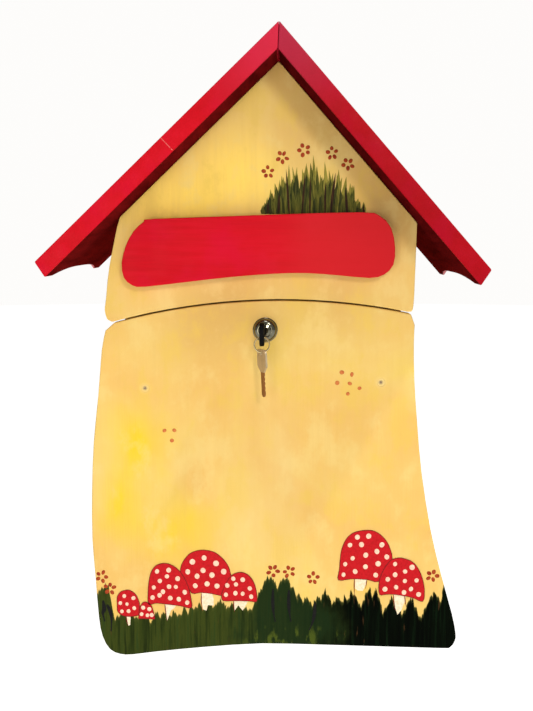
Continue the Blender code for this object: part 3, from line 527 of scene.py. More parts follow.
def plywood(name, grain, face_axis):
    """grain is the noise's scale on each axis, and the sheet's thickness lies along face_axis."""
    bench = Bench(name, roughness=0.68, Specular_IOR_Level=0.3)
    rings = bench.noise(grain, detail=6, rough=0.62, twist=1.2)
    color = bench.ramp(rings, [
        (0.30, (0.42, 0.25, 0.12)), (0.46, (0.56, 0.37, 0.19)), (0.58, (0.64, 0.45, 0.26)),
        (0.74, (0.50, 0.31, 0.15)),
    ])
    pores = bench.span(bench.noise(tuple(6 * s for s in grain), detail=2), 0.60, 0.72, 0.0, 0.5)
    color = bench.mix(pores, color, (0.30, 0.17, 0.08))
    layers = bench.math("SINE", bench.math("MULTIPLY", bench.axis(face_axis), 2 * math.pi / TWO_LAYERS))
    stripes = bench.mix(bench.span(layers, -0.3, 0.3), (0.36, 0.21, 0.10), (0.62, 0.44, 0.25))
    facing = bench.node("ShaderNodeNewGeometry").outputs["Normal"]
    away = bench.node("ShaderNodeSeparateXYZ", {0: facing}).outputs["XYZ".index(face_axis)]
    edge = bench.span(bench.math("ABSOLUTE", away), 0.3, 0.6, 1.0, 0.0)
    color = bench.mix(edge, color, stripes)
    gloss = bench.span(rings, 0.3, 0.7, 0.60, 0.78)
    return bench.finish(color, gloss, bench.bump(rings, 0.25, 0.0008))


ply_back = plywood("birch_ply_back", (34, 34, 4), "Y")
ply_floor = plywood("birch_ply_floor", (4, 34, 34), "Z")
ply_batten = plywood("birch_batten", (4, 40, 40), "Y")
print("made", ply_back.name, ply_floor.name, ply_batten.name)

# %% [markdown]
# The metals differ mostly in how much they blur what they reflect. The lock's dark chrome is nearly a mirror
# with fine scratches, zinc is mottled and dull, and the nickel is warm. Both keys have two finishes: one has
# a black head and a metal blade, and the other's blade is worn brown below its shoulder.


# %% Metals, rubber and plastic
def metal(name, dark, light, roughness, depth=0.08):
    bench = Bench(name, roughness=sum(roughness) / 2, metallic=1.0)
    patches = bench.noise((90, 90, 90), detail=5, rough=0.7)
    color = bench.ramp(patches, [(0.30, dark), (0.55, light), (0.80, tuple(0.9 * c for c in light))])
    lines = bench.noise((1560, 260, 780), detail=2)
    gloss = bench.span(bench.math("ADD", patches, bench.math("MULTIPLY", lines, 0.5)), 0.5, 1.1, *roughness)
    return bench.finish(color, gloss, bench.bump(lines, depth, 0.0002))


def two_part_key(name, axis, limit, low, high, metallic, roughness, specular):
    """A key in two finishes: low up to the limit on the axis, and high beyond it."""
    bench = Bench(name, Specular_IOR_Level=specular)
    side = bench.span(bench.axis(axis), limit - 0.0004, limit + 0.0004)
    wear = bench.noise((300, 300, 120), detail=5, rough=0.7)
    low_color = bench.ramp(wear, [(0.3, tuple(0.75 * c for c in low)), (0.7, low)])
    high_color = bench.ramp(wear, [(0.3, tuple(0.65 * c for c in high)), (0.7, high)])
    bench.put(bench.shader.inputs["Metallic"], bench.span(side, 0, 1, *metallic, smooth=False))
    gloss = bench.span(wear, 0.3, 0.7, roughness, roughness + 0.16)
    normal = bench.bump(bench.noise((1500, 400, 900), detail=2), 0.1, 0.0002)
    return bench.finish(bench.mix(side, low_color, high_color), gloss, normal)


def rubber(name):
    bench = Bench(name, roughness=0.8, Specular_IOR_Level=0.3)
    dust = bench.noise((500, 500, 500), detail=4)
    color = bench.ramp(dust, [(0.3, (0.018, 0.017, 0.016)), (0.75, (0.055, 0.052, 0.048))])
    return bench.finish(color, bench.span(dust, 0.3, 0.7, 0.68, 0.9), bench.bump(dust, 0.3, 0.0004))


chrome = metal("dark_chrome_lock", (0.065, 0.062, 0.040), (0.17, 0.16, 0.115), (0.07, 0.15), depth=0.03)
zinc = metal("zinc_plated_steel", (0.38, 0.39, 0.40), (0.60, 0.61, 0.62), (0.28, 0.46))
nickel = metal("nickel_ring", (0.38, 0.29, 0.14), (0.58, 0.47, 0.26), (0.16, 0.30))
HEAD_AHEAD = 0.0112
black_key = two_part_key(
    "black_head_key", "Y", FRONT - HEAD_AHEAD, (0.002, 0.002, 0.002), (0.55, 0.46, 0.30),
    (0.0, 1.0), 0.36, 0.06,
)
BLADE_LENGTH = 0.0245
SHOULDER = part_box("spare_key")[0].z + BLADE_LENGTH
spare_finish = two_part_key(
    "spare_key_worn_nickel", "Z", SHOULDER, (0.25, 0.095, 0.022), (0.53, 0.42, 0.26), (0.25, 0.5), 0.36, 0.2
)
bumper = rubber("bumper_rubber")
print("made", chrome.name, zinc.name, nickel.name, black_key.name, spare_finish.name, bumper.name)

# %% [markdown]
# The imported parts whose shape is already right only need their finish. One list says which finish goes on
# which part, and the loop puts it in the part's first material slot.

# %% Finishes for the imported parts
FINISHES = {
    ply_back: ["back_panel", "ridge_block"],
    ply_floor: ["floor_board"],
    ply_batten: ["door_batten"],
    yellow: ["side_left", "side_right", "gable_board", "door_screw_left", "door_screw_right"],
    grassy: ["door_panel"],
    red_left: ["roof_left"],
    red_right: ["roof_right"],
    red_flap: ["flap_board"],
    chrome: ["lock_housing", "lock_plug"],
    nickel: ["key_ring"],
    black_key: ["key"],
    spare_finish: ["spare_key"],
    bumper: ["door_bumper_left", "door_bumper_right", "flap_bumper_left", "flap_bumper_right"],
}
finished = {name: finish for finish, names in FINISHES.items() for name in names}
for name, node in nodes.items():
    node.data.materials.clear()
    node.data.materials.append(finished.get(name, zinc))
print("zinc parts:", sorted(n for n in nodes if n not in finished))

# %% [markdown]
# The imported parts are built of loose flat triangles. A joined copy lets light roll round the sawn edges of
# the boards and over the keys: the corners are merged, flat areas become single faces, and the shading is
# smooth except at the sharp corners. The copy then stands for the imported part, which stays behind,
# hidden.


# %% Softened copies of the boards and keys
def softened(node_name, finish):
    deselect_all()
    source = nodes[node_name]
    body = source["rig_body"]
    piece = bpy.data.objects.new(f"{node_name}_finished", source.data.copy())
    bpy.context.scene.collection.objects.link(piece)
    only(piece)
    bpy.ops.object.mode_set(mode="EDIT")
    bpy.ops.mesh.select_all(action="SELECT")
    bpy.ops.mesh.remove_doubles(threshold=0.00002)
    bpy.ops.mesh.dissolve_limited(angle_limit=math.radians(0.5))
    bpy.ops.object.mode_set(mode="OBJECT")
    bpy.ops.object.shade_smooth_by_angle(angle=math.radians(32))
    weighted = piece.modifiers.new("rolled_edges", "WEIGHTED_NORMAL")
    weighted.keep_sharp = True
    bpy.ops.object.modifier_apply(modifier=weighted.name)
    piece.data.materials.clear()
    piece.data.materials.append(finish)
    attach(piece, body)
    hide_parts(node_name)
    return piece


BOARDS = [
    ("door_panel", grassy, "yellow_paint"), ("gable_board", yellow, "yellow_paint"),
    ("roof_left", red_left, "red_paint"), ("roof_right", red_right, "red_paint"),
    ("flap_board", red_flap, "red_paint"), ("side_left", yellow, "yellow_paint"),
    ("side_right", yellow, "yellow_paint"), ("back_panel", ply_back, "plywood"),
    ("lock_plug", chrome, "chrome"), ("key", black_key, "key_head"),
    ("key_ring", nickel, "nickel"), ("spare_key", spare_finish, "nickel"),
]
boards = {name: softened(name, finish) for name, finish, slot in BOARDS}
for name, piece in boards.items():
    print(piece.name, len(piece.data.polygons), "faces")
# Painted shade: the faces under each eave take the much darker red, the right one darker still.
for side, painted_underside_shade, lean in (("left", shade_under_left, 1), ("right", shade_under_right, -1)):
    roof = boards[f"roof_{side}"].data
    roof.materials.append(painted_underside_shade)
    pitch = ROOF_PITCH[side]
    down = Vector((lean * math.sin(pitch), 0, -math.cos(pitch)))
    below = [face for face in roof.polygons if face.normal.dot(down) > 0.995]
    for face in below:
        face.material_index = 1
    print(f"roof_{side}:", len(below), "faces keep only the undercoat")

# %% [markdown]
# The lock's housing is turned brass with chrome on it: a flange, a smooth dome over it, and a threaded barrel
# that goes through the board. A turned shape is one section carried round an axis, so here a circle is
# extruded and resized once for each step of the section, until it meets its own start.


# %% The domed lock housing
def lock_section():
    """Radius and distance ahead of the board: flange, dome, back down the bore, forward along the barrel."""
    bore, barrel, flange, seat, back = 0.0063, 0.0092, 0.0125, 0.0003, -0.0245
    foot, rise = (0.0118, 0.0015), (0.0051, 0.0062)
    dome = [
        (foot[0] - rise[0] * (1 - math.cos(turn)), foot[1] + rise[1] * math.sin(turn))
        for turn in (i * math.pi / 20 for i in range(11))
    ]
    pitch = 0.0014
    thread = [(barrel - depth, back + 0.001 + (i + half) * pitch)
              for i in range(15) for half, depth in ((0, 0.0), (0.5, 0.0005))]
    rim = [(flange, seat), (flange, 0.0010), (flange - 0.0004, 0.0014)]
    return rim + dome + [(bore, 0.0076), (bore, back), (barrel, back)] + thread + [(barrel, seat)]


def turned_housing(finish):
    deselect_all()
    section = lock_section()
    radius, ahead = section[0]
    bpy.ops.mesh.primitive_circle_add(
        vertices=64, radius=radius, location=(LOCK.x, FRONT - ahead, LOCK.z), rotation=(math.pi / 2, 0, 0)
    )
    piece = bpy.context.object
    piece.name = "lock_housing_finished"
    bpy.ops.object.transform_apply(location=True, rotation=True, scale=True)
    bpy.ops.object.mode_set(mode="EDIT")
    bpy.ops.mesh.select_all(action="SELECT")
    for next_radius, next_ahead in section[1:] + section[:1]:
        bpy.ops.mesh.extrude_region_move(TRANSFORM_OT_translate={"value": (0, ahead - next_ahead, 0)})
        share = next_radius / radius
        bpy.ops.transform.resize(value=(share, 1, share), center_override=(LOCK.x, FRONT, LOCK.z))
        radius, ahead = next_radius, next_ahead
    bpy.ops.mesh.select_all(action="SELECT")
    bpy.ops.mesh.remove_doubles(threshold=0.00002)
    bpy.ops.mesh.normals_make_consistent(inside=False)
    bpy.ops.object.mode_set(mode="OBJECT")
    bpy.ops.object.shade_smooth_by_angle(angle=math.radians(40))
    piece.data.materials.append(finish)
    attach(piece, nodes["lock_housing"]["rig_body"])
    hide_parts("lock_housing")
    return piece


housing = turned_housing(chrome)
print(housing.name, len(housing.data.polygons), "faces")

# %% [markdown]
# The small flowers and the cream spots are single dabs of a round brush, so each is a low dome of paint.
# One dab is modelled from a circle whose middle is lifted, and copied for every dab, each copy with its
# own mesh. Turning each copy a little keeps them from looking stamped.


# %% Dabs of paint
def dab_model(name, finish, points=12, lift=0.28):
    """A dome of radius 1 that faces the front, lifted at its middle by a share of its radius."""
    deselect_all()
    bpy.ops.mesh.primitive_circle_add(
        vertices=points, radius=1, fill_type="NGON", rotation=(math.pi / 2, 0, 0)
    )
    dab = bpy.context.object
    dab.name = name
    bpy.ops.object.transform_apply(location=True, rotation=True, scale=True)
    bpy.ops.object.mode_set(mode="EDIT")
    bpy.ops.mesh.select_all(action="SELECT")
    for narrow in (0.82, 0.55):
        bpy.ops.mesh.extrude_region_move(TRANSFORM_OT_translate={"value": (0, -0.5 * lift, 0)})
        bpy.ops.transform.resize(value=(narrow, 1, narrow), center_override=(0, 0, 0))
    bpy.ops.mesh.select_all(action="SELECT")
    bpy.ops.mesh.normals_make_consistent(inside=False)
    bpy.ops.object.mode_set(mode="OBJECT")
    bpy.ops.object.shade_smooth()
    dab.data.materials.append(finish)
    return dab


def put_copy(model, x, z, size, turn=0.0, raised=0.0):
    """A copy of a model with its own mesh, set on the front plane. size is (across, deep, up)."""
    made = bpy.data.objects.new(model.name, model.data.copy())
    bpy.context.scene.collection.objects.link(made)
    made.matrix_world = (
        Matrix.Translation((x, FRONT - raised, z))
        @ Matrix.Rotation(turn, 4, "Y")
        @ Matrix.Diagonal((*size, 1))
    )
    return made


def gather(name, pieces, body):
    """Joins pieces into one, puts its place in its mesh, and lets it ride on a body."""
    deselect_all()
    for piece in pieces:
        piece.select_set(True)
    bpy.context.view_layer.objects.active = pieces[0]
    bpy.ops.object.join()
    bpy.ops.object.transform_apply(location=True, rotation=True, scale=True)
    made = bpy.context.object
    made.name = name
    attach(made, body)
    print(name, len(made.data.polygons), "faces on", body)


def remove(*pieces):
    for piece in pieces:
        bpy.data.objects.remove(piece)


def dab_paint(name, dark, light, gloss=0.5):
    bench = Bench(name, roughness=gloss, Specular_IOR_Level=0.12)
    grain = bench.noise((420, 420, 420), detail=4, rough=0.6)
    color = bench.ramp(grain, [(0.32, dark), (0.62, light)])
    rough = bench.span(grain, 0.3, 0.7, gloss - 0.08, gloss + 0.1)
    return bench.finish(color, rough, bench.bump(grain, 0.2, 0.0003))


petal_paint = dab_paint("flower_red_brown", (0.24, 0.014, 0.005), (0.40, 0.060, 0.012))
pale_dot_paint = dab_paint("faded_orange_dots", (0.48, 0.10, 0.025), (0.64, 0.22, 0.06))
cream_paint = dab_paint("cream_spots", (0.82, 0.46, 0.34), (0.90, 0.66, 0.48))
print("dab paints ready")

# %% [markdown]
# A flower is five dabs in a ring, each a little longer than it is wide and pointing at the middle. Eleven
# flowers stand over the grass, some on the gable and some on the door, so they are gathered into one piece
# for each board. The two loose groups of paler dots on the door are single dabs of an almost dry brush.

# %% Flowers and loose dots
random.seed(11)
petal = dab_model("petal", petal_paint)
PETAL_RING = 0.0046
DOOR_FLOWERS = [
    (-.1662, -.1593), (-.1578, -.1722), (.0114, -.1517), (.0279, -.1527), (.0526, -.1594),
    (.1751, -.1558),
]
GABLE_FLOWERS = [(0.0062, 0.2538), (0.0202, 0.2684), (0.0416, 0.2751), (0.0691, 0.2722), (0.0849, 0.2615)]


def flower(x, z, scale=1.0):
    start = random.uniform(0, 2 * math.pi)
    petals = []
    for i in range(5):
        angle = start + i * 2 * math.pi / 5 + random.uniform(-0.12, 0.12)
        ring = PETAL_RING * scale * random.uniform(0.88, 1.1)
        across, long = random.uniform(0.0018, 0.0022) * scale, random.uniform(0.0022, 0.0027) * scale
        petals.append(put_copy(
            petal, x + ring * math.sin(angle), z + ring * math.cos(angle), (across, 0.0010, long), angle
        ))
    return petals


gather("flowers_on_door", [p for x, z in DOOR_FLOWERS for p in flower(x, z)], "door")
gather("flowers_on_gable", [p for x, z in GABLE_FLOWERS for p in flower(x, z, 0.95)], "case")

LOOSE_DOTS = [
    (-0.0992, -0.0057), (-0.0891, -0.0054), (-0.0917, -0.0160), (0.0806, 0.0546), (0.0907, 0.0525),
    (0.0760, 0.0439), (0.0887, 0.0433), (0.0985, 0.0385), (0.0868, 0.0328),
]
faded = dab_model("faded_dot", pale_dot_paint)
dots = [
    put_copy(faded, x, z, (random.uniform(0.0018, 0.0025), 0.0006, random.uniform(0.0019, 0.0026)),
             random.uniform(0, math.pi))
    for x, z in LOOSE_DOTS
]
gather("loose_dots_on_door", dots, "door")
remove(petal, faded)

# %% [markdown]
# Anything painted with an outline, such as a toadstool's cap, is a thin flat skin of paint. It starts as a
# circle with as many corners as the outline needs, its corners are moved to the outline, and it is extruded
# by the thickness of the paint. An inset then gives the darker line round the edge its own faces.


# %% Flat painted shapes
LINE_WIDTH = 0.0007


def smooth_line(points, per_span=3, closed=True):
    """Points on a curve that runs through every given point."""
    count = len(points)
    run = []
    for i in range(count if closed else count - 1):
        if closed:
            p0, p1, p2, p3 = (Vector(points[(i + k) % count]) for k in (-1, 0, 1, 2))
        else:
            p0, p1, p2, p3 = (Vector(points[min(max(i + k, 0), count - 1)]) for k in (-1, 0, 1, 2))
        for step in range(per_span):
            t = step / per_span
            bend = (p3 - 3 * p2 + 3 * p1 - p0) * t**3 + (2 * p0 - 5 * p1 + 4 * p2 - p3) * t**2
            run.append(tuple(p1 + (bend + (p2 - p0) * t) / 2))
    return run if closed else run + [tuple(points[-1])]


def painted_shape(name, outline, raised, thickness, finish, line_finish=None):
    deselect_all()
    bpy.ops.mesh.primitive_circle_add(vertices=len(outline), radius=0.01, fill_type="NGON")
    piece = bpy.context.object
    piece.name = name
    for corner, (x, z) in zip(piece.data.vertices, outline):
        corner.co = (x, FRONT - raised, z)
    piece.data.materials.append(finish)
    bpy.ops.object.mode_set(mode="EDIT")
    bpy.ops.mesh.select_mode(type="FACE")
    bpy.ops.mesh.select_all(action="SELECT")
    bpy.ops.mesh.extrude_region_move(TRANSFORM_OT_translate={"value": (0, -thickness, 0)})
    if line_finish:
        bpy.ops.mesh.inset(thickness=LINE_WIDTH, use_boundary=True)
        piece.data.materials.append(line_finish)
        bpy.ops.mesh.select_all(action="INVERT")
        bpy.context.object.active_material_index = 1
        bpy.ops.object.material_slot_assign()
    bpy.ops.mesh.select_all(action="SELECT")
    bpy.ops.mesh.normals_make_consistent(inside=False)
    bpy.ops.object.mode_set(mode="OBJECT")
    return piece


def stroke_outline(points, width, blunt=0.25):
    """The outline of one pull of the brush along a line: widest in the middle, thin at both ends."""
    line = smooth_line(points, 4, closed=False)
    left, right = [], []
    for i, (x, z) in enumerate(line):
        before, after = line[max(i - 1, 0)], line[min(i + 1, len(line) - 1)]
        run = Vector((after[0] - before[0], after[1] - before[1])).normalized()
        share = i / (len(line) - 1)
        half = width / 2 * max(blunt, math.sin(math.pi * min(0.9, share + 0.12)))
        left.append((x - run.y * half, z + run.x * half))
        right.append((x + run.y * half, z - run.x * half))
    return left + right[::-1]


print("shape helpers ready")

# %% [markdown]
# The toadstools are the picture that everyone remembers: red caps with a thin dark line round them, cream
# spots set down with the tip of the brush, and short pale stems that stand in the grass. Where caps overlap,
# the one in front is a second layer of paint, a little higher.

# %% Toadstool caps
CAPS = {
    "A": [
        (-.1499, -.1974), (-.1507, -.1889), (-.1505, -.1807), (-.1471, -.1756), (-.1426, -.1737),
        (-.1379, -.1733), (-.1321, -.1765), (-.1288, -.1818), (-.1268, -.1881), (-.1272, -.1957),
        (-.1287, -.2010), (-.1420, -.2022),
    ],
    "B": [
        (-.1285, -.2043), (-.1282, -.1995), (-.1271, -.1925), (-.1246, -.1874), (-.1209, -.1858),
        (-.1154, -.1886), (-.1130, -.1943), (-.1115, -.2006), (-.1113, -.2047), (-.1168, -.2045),
        (-.1211, -.2044), (-.1248, -.2043),
    ],
    "C": [
        (-.1179, -.1886), (-.1183, -.1741), (-.1169, -.1615), (-.1141, -.1524), (-.1092, -.1467),
        (-.1020, -.1444), (-.0945, -.1456), (-.0865, -.1509), (-.0796, -.1606), (-.0752, -.1719),
        (-.0731, -.1826), (-.0731, -.1923), (-.0854, -.1902), (-.1001, -.1885), (-.1099, -.1876),
    ],
    "D": [
        (-.0733, -.1763), (-.0802, -.1612), (-.0844, -.1549), (-.0838, -.1474), (-.0800, -.1399),
        (-.0739, -.1336), (-.0653, -.1304), (-.0568, -.1303), (-.0483, -.1327), (-.0410, -.1383),
        (-.0352, -.1458), (-.0326, -.1533), (-.0314, -.1633), (-.0376, -.1785), (-.0522, -.1770),
        (-.0632, -.1759),
    ],
    "E": [
        (-.0400, -.1844), (-.0422, -.1785), (-.0394, -.1697), (-.0350, -.1611), (-.0314, -.1567),
        (-.0265, -.1541), (-.0204, -.1534), (-.0143, -.1560), (-.0095, -.1616), (-.0064, -.1694),
        (-.0048, -.1794), (-.0058, -.1851), (-.0138, -.1846), (-.0271, -.1843),
    ],
    "F": [
        (.0785, -.1614), (.0793, -.1501), (.0802, -.1383), (.0816, -.1284), (.0860, -.1179),
        (.0923, -.1116), (.0999, -.1088), (.1088, -.1079), (.1152, -.1089), (.1218, -.1128),
        (.1280, -.1196), (.1317, -.1274), (.1340, -.1366), (.1322, -.1497), (.1203, -.1626),
        (.1081, -.1607), (.0928, -.1601),
    ],
    "G": [
        (.1211, -.1762), (.1203, -.1630), (.1246, -.1498), (.1308, -.1408), (.1346, -.1381),
        (.1410, -.1368), (.1473, -.1378), (.1540, -.1406), (.1592, -.1458), (.1635, -.1537),
        (.1662, -.1626), (.1676, -.1718), (.1659, -.1834), (.1543, -.1792), (.1377, -.1763),
        (.1287, -.1761),
    ],
}
IN_FRONT = {"B", "C", "E", "G"}
SPOTS = {
    "A": [
        (-.1429, -.1800), (-.1334, -.1821), (-.1471, -.1876), (-.1402, -.1886), (-.1327, -.1929),
        (-.1456, -.1965), (-.1387, -.1962),
    ],
    "B": [
        (-.1234, -.1922), (-.1170, -.1937), (-.1251, -.1992), (-.1190, -.2004), (-.1146, -.2000),
    ],
    "C": [
        (-.1085, -.1533), (-.0964, -.1519), (-.0983, -.1586), (-.0872, -.1609), (-.1057, -.1635),
        (-.1121, -.1705), (-.0962, -.1695), (-.0892, -.1697), (-.1026, -.1749), (-.0800, -.1753),
        (-.1135, -.1813), (-.0951, -.1817), (-.0862, -.1829), (-.0775, -.1864), (-.1061, -.1788),
    ],
    "D": [
        (-.0597, -.1387), (-.0718, -.1429), (-.0474, -.1444), (-.0767, -.1536), (-.0609, -.1520),
        (-.0395, -.1531), (-.0517, -.1569), (-.0671, -.1582), (-.0568, -.1663), (-.0690, -.1684),
        (-.0466, -.1685),
    ],
    "E": [
        (-.0296, -.1605), (-.0199, -.1615), (-.0359, -.1677), (-.0269, -.1665), (-.0126, -.1707),
        (-.0275, -.1759), (-.0200, -.1764), (-.0373, -.1776), (-.0112, -.1795),
    ],
    "F": [
        (.0978, -.1156), (.1094, -.1145), (.0903, -.1240), (.1021, -.1234), (.1230, -.1235),
        (.1180, -.1305), (.1282, -.1362), (.1066, -.1345), (.0932, -.1379), (.0856, -.1442),
        (.1194, -.1435), (.1064, -.1468), (.0959, -.1519), (.0840, -.1554), (.1170, -.1555),
    ],
    "G": [
        (.1367, -.1436), (.1542, -.1469), (.1471, -.1514), (.1369, -.1549), (.1295, -.1598),
        (.1470, -.1615), (.1590, -.1607), (.1382, -.1681), (.1534, -.1699), (.1267, -.1703),
        (.1463, -.1736), (.1613, -.1756),
    ],
}
SPOT_RADIUS = {"A": 0.0023, "B": 0.0023, "C": 0.0027, "D": 0.0031, "E": 0.0027, "F": 0.0029, "G": 0.0028}
cap_paint = dab_paint("toadstool_red", (0.42, 0.003, 0.006), (0.54, 0.005, 0.010), gloss=0.44)
line_paint = dab_paint("dark_outline", (0.10, 0.004, 0.004), (0.20, 0.010, 0.008))
caps, spots = [], []
spot = dab_model("spot", cream_paint, points=14, lift=0.24)
for name, outline in CAPS.items():
    raised, thickness = (0.00028, 0.00022) if name in IN_FRONT else (0.00002, 0.00024)
    caps.append(painted_shape(f"cap_{name}", smooth_line(outline), raised, thickness, cap_paint, line_paint))
    for x, z in SPOTS[name]:
        size = SPOT_RADIUS[name] * random.uniform(0.86, 1.08)
        spots.append(put_copy(spot, x, z, (size * random.uniform(0.85, 1.0), 0.0014, size),
                              random.uniform(-0.5, 0.5), raised + thickness - 0.00005))
gather("toadstool_caps", caps, "door")
gather("toadstool_spots", spots, "door")
remove(spot)

# %% [markdown]
# The stems are thin cream paint, with a dark line down the left, and on the two at the right down both sides.
# They are drawn like the caps, but under them, and they narrow towards the grass.

# %% Toadstool stems
STEMS = {
    "A": [
        (-.1410, -.1995), (-.1365, -.1995), (-.1372, -.2110), (-.1390, -.2120), (-.1402, -.2060),
    ],
    "C": [
        (-.1007, -.1860), (-.0884, -.1880), (-.0912, -.1930), (-.0945, -.1950), (-.0985, -.2060),
        (-.1000, -.1960),
    ],
    "D": [
        (-.0626, -.1745), (-.0516, -.1755), (-.0500, -.1830), (-.0500, -.1895), (-.0560, -.1890),
        (-.0575, -.1950), (-.0612, -.1935), (-.0624, -.1850),
    ],
    "E": [
        (-.0293, -.1825), (-.0138, -.1830), (-.0165, -.1885), (-.0200, -.1945), (-.0245, -.1890),
        (-.0283, -.1945),
    ],
    "F": [
        (.0956, -.1585), (.1081, -.1590), (.1068, -.1660), (.1040, -.1725), (.0985, -.1720),
        (.0962, -.1700),
    ],
    "G": [
        (.1358, -.1750), (.1485, -.1760), (.1470, -.1840), (.1440, -.1925), (.1400, -.1975),
        (.1375, -.1900),
    ],
}
STEM_LINES = {
    "C": [(-.1007, -.1885), (-.1000, -.1960), (-.0985, -.2068)],
    "D": [(-.0626, -.1762), (-.0628, -.1850), (-.0618, -.1955)],
    "E": [(-.0293, -.1844), (-.0291, -.1900), (-.0284, -.1960)],
    "F": [(.0952, -.1600), (.0951, -.1690), (.0956, -.1790)],
    "G": [(.1358, -.1766), (.1360, -.1830), (.1372, -.1920)],
    "G_right": [(.1470, -.1770), (.1478, -.1840), (.1490, -.1890)],
    "F_right": [(.1079, -.1609), (.1074, -.1650), (.1068, -.1700)],
    "A": [(-.1411, -.2022), (-.1405, -.2070), (-.1394, -.2120)],
}
stem_paint = dab_paint("stem_cream", (0.76, 0.58, 0.34), (0.88, 0.76, 0.56), gloss=0.52)
stems = [
    painted_shape(f"stem_{name}", outline, 0.00001, 0.00014, stem_paint) for name, outline in STEMS.items()
]
gather("toadstool_stems", stems, "door")
stem_lines = [
    painted_shape(f"stem_line_{name}", stroke_outline(points, 0.0010), 0.00001, 0.00020, line_paint)
    for name, points in STEM_LINES.items()
]
gather("stem_lines", stem_lines, "door")

# %% [markdown]
# A few single pulls of black paint stand among the grass on the door. Each is one stroke outline, thick where
# the brush was pressed down.

# %% Black strokes in the grass
BLACK_STROKES = [
    ([(-.1651, -.1850), (-.1640, -.1940), (-.1655, -.1990), (-.1636, -.2075)], 0.0042),
    ([(-.1612, -.1895), (-.1580, -.1960), (-.1565, -.2040), (-.1572, -.2180)], 0.0038),
    ([(.0114, -.1712), (.0112, -.1850), (.0120, -.1960), (.0138, -.2062)], 0.0034),
    ([(.0278, -.1722), (.0277, -.1850), (.0283, -.1950), (.0300, -.2060)], 0.0036),
    ([(.0548, -.1850), (.0545, -.1960), (.0525, -.2060), (.0490, -.2150)], 0.0036),
]
black_paint = dab_paint("black_brush_stroke", (0.0012, 0.0012, 0.0012), (0.006, 0.006, 0.005), gloss=0.55)
strokes = [
    painted_shape(f"stroke_{i}", stroke_outline(points, width, 0.3), 0.00002, 0.00020, black_paint)
    for i, (points, width) in enumerate(BLACK_STROKES)
]
gather("black_strokes", strokes, "door")

# %% [markdown]
# On the gable a tuft of grass stands above the flap. Here the blades can be told apart, so they are real
# slips of paint: one blade is modelled, and copies of it are stretched, leaned and turned to follow the
# tuft's own outline. Light, middle and dark blades are laid one over the other, as a painter would, with a
# few brown strokes on top.

# %% The tuft of grass on the gable
TUFT_BASE, TUFT_LEFT, TUFT_RIGHT = 0.2128, 0.0015, 0.1010
SPREAD_WIDTH = 0.0990
TUFT_TOPS = [
    (.0010, .2215), (.0052, .2290), (.0085, .2370), (.0125, .2430), (.0195, .2505),
    (.0265, .2610), (.0300, .2590), (.0345, .2590), (.0395, .2570), (.0440, .2630),
    (.0504, .2705), (.0540, .2600), (.0617, .2640), (.0660, .2560), (.0700, .2530),
    (.0756, .2565), (.0790, .2490), (.0832, .2495), (.0870, .2430), (.0908, .2410),
    (.0950, .2280), (.1005, .2245),
]


def blade_paint(name, dark, between, light):
    """Thin paint pulled upwards: streaks of three tones along the stroke."""
    bench = Bench(name, roughness=0.6, Specular_IOR_Level=0.06)
    streaks = bench.noise((520, 300, 45), detail=5, rough=0.7, twist=0.4)
    color = bench.ramp(streaks, [(0.34, dark), (0.50, between), (0.66, light)])
    return bench.finish(color, bench.span(streaks, 0.3, 0.7, 0.52, 0.7), bench.bump(streaks, 0.25, 0.0003))


light_blade = blade_paint("grass_light_olive", (0.10, 0.10, 0.016), (0.23, 0.20, 0.032), (0.40, 0.33, 0.060))
mid_blade = blade_paint("grass_olive", (0.024, 0.030, 0.006), (0.085, 0.088, 0.014), (0.180, 0.160, 0.026))
dark_blade = blade_paint(
    "grass_dark_green", (0.008, 0.012, 0.004), (0.034, 0.040, 0.009), (0.090, 0.086, 0.018)
)
brown_blade = blade_paint(
    "grass_brown_stroke", (0.014, 0.006, 0.004), (0.034, 0.016, 0.008), (0.070, 0.034, 0.014)
)


def tuft_top(x):
    """The tuft's height at x, between the listed points."""
    for (x0, z0), (x1, z1) in zip(TUFT_TOPS, TUFT_TOPS[1:]):
        if x0 <= x <= x1:
            return z0 + (z1 - z0) * (x - x0) / (x1 - x0)
    return TUFT_TOPS[0][1] if x < TUFT_TOPS[0][0] else TUFT_TOPS[-1][1]


def blade_model(name, finish):
    """A blade of height 1 and width 1, standing on the middle of the front plane."""
    outline = [
        (-0.30, 0.0), (0.30, 0.0), (0.46, 0.25), (0.50, 0.50), (0.34, 0.78), (0.06, 1.0), (-0.26, 0.76),
        (-0.48, 0.42),
    ]
    model = painted_shape(name, outline, 0.0, 1.0, finish)
    model.data.transform(Matrix.Translation((0, -FRONT, 0)))
    return model


def tuft_layer(name, finish, spots, width, raised):
    model = blade_model(name, finish)
    copies = []
    for x, top in spots:
        lean = 0.14 * (x - 0.050) / 0.05 * random.uniform(0.0, 1.0) + random.uniform(-0.14, 0.14)
        height = (top - TUFT_BASE) / math.cos(lean)
        foot = x - math.tan(lean) * (top - TUFT_BASE)
        foot = min(max(foot, TUFT_LEFT), TUFT_RIGHT)
        lean = math.atan2(x - foot, top - TUFT_BASE)
        size = (width * random.uniform(0.7, 1.25), 0.00008, height)
        copies.append(put_copy(model, foot, TUFT_BASE, size, lean, raised + random.uniform(0, 0.00006)))
    remove(model)
    return copies


def spread(count, low, high):
    """Places along the tuft, with tips that reach a share of its height there."""
    made = []
    for i in range(count):
        x = TUFT_LEFT + SPREAD_WIDTH * (i + random.random()) / count
        made.append((x, TUFT_BASE + (tuft_top(x) - TUFT_BASE) * random.uniform(low, high)))
    return made


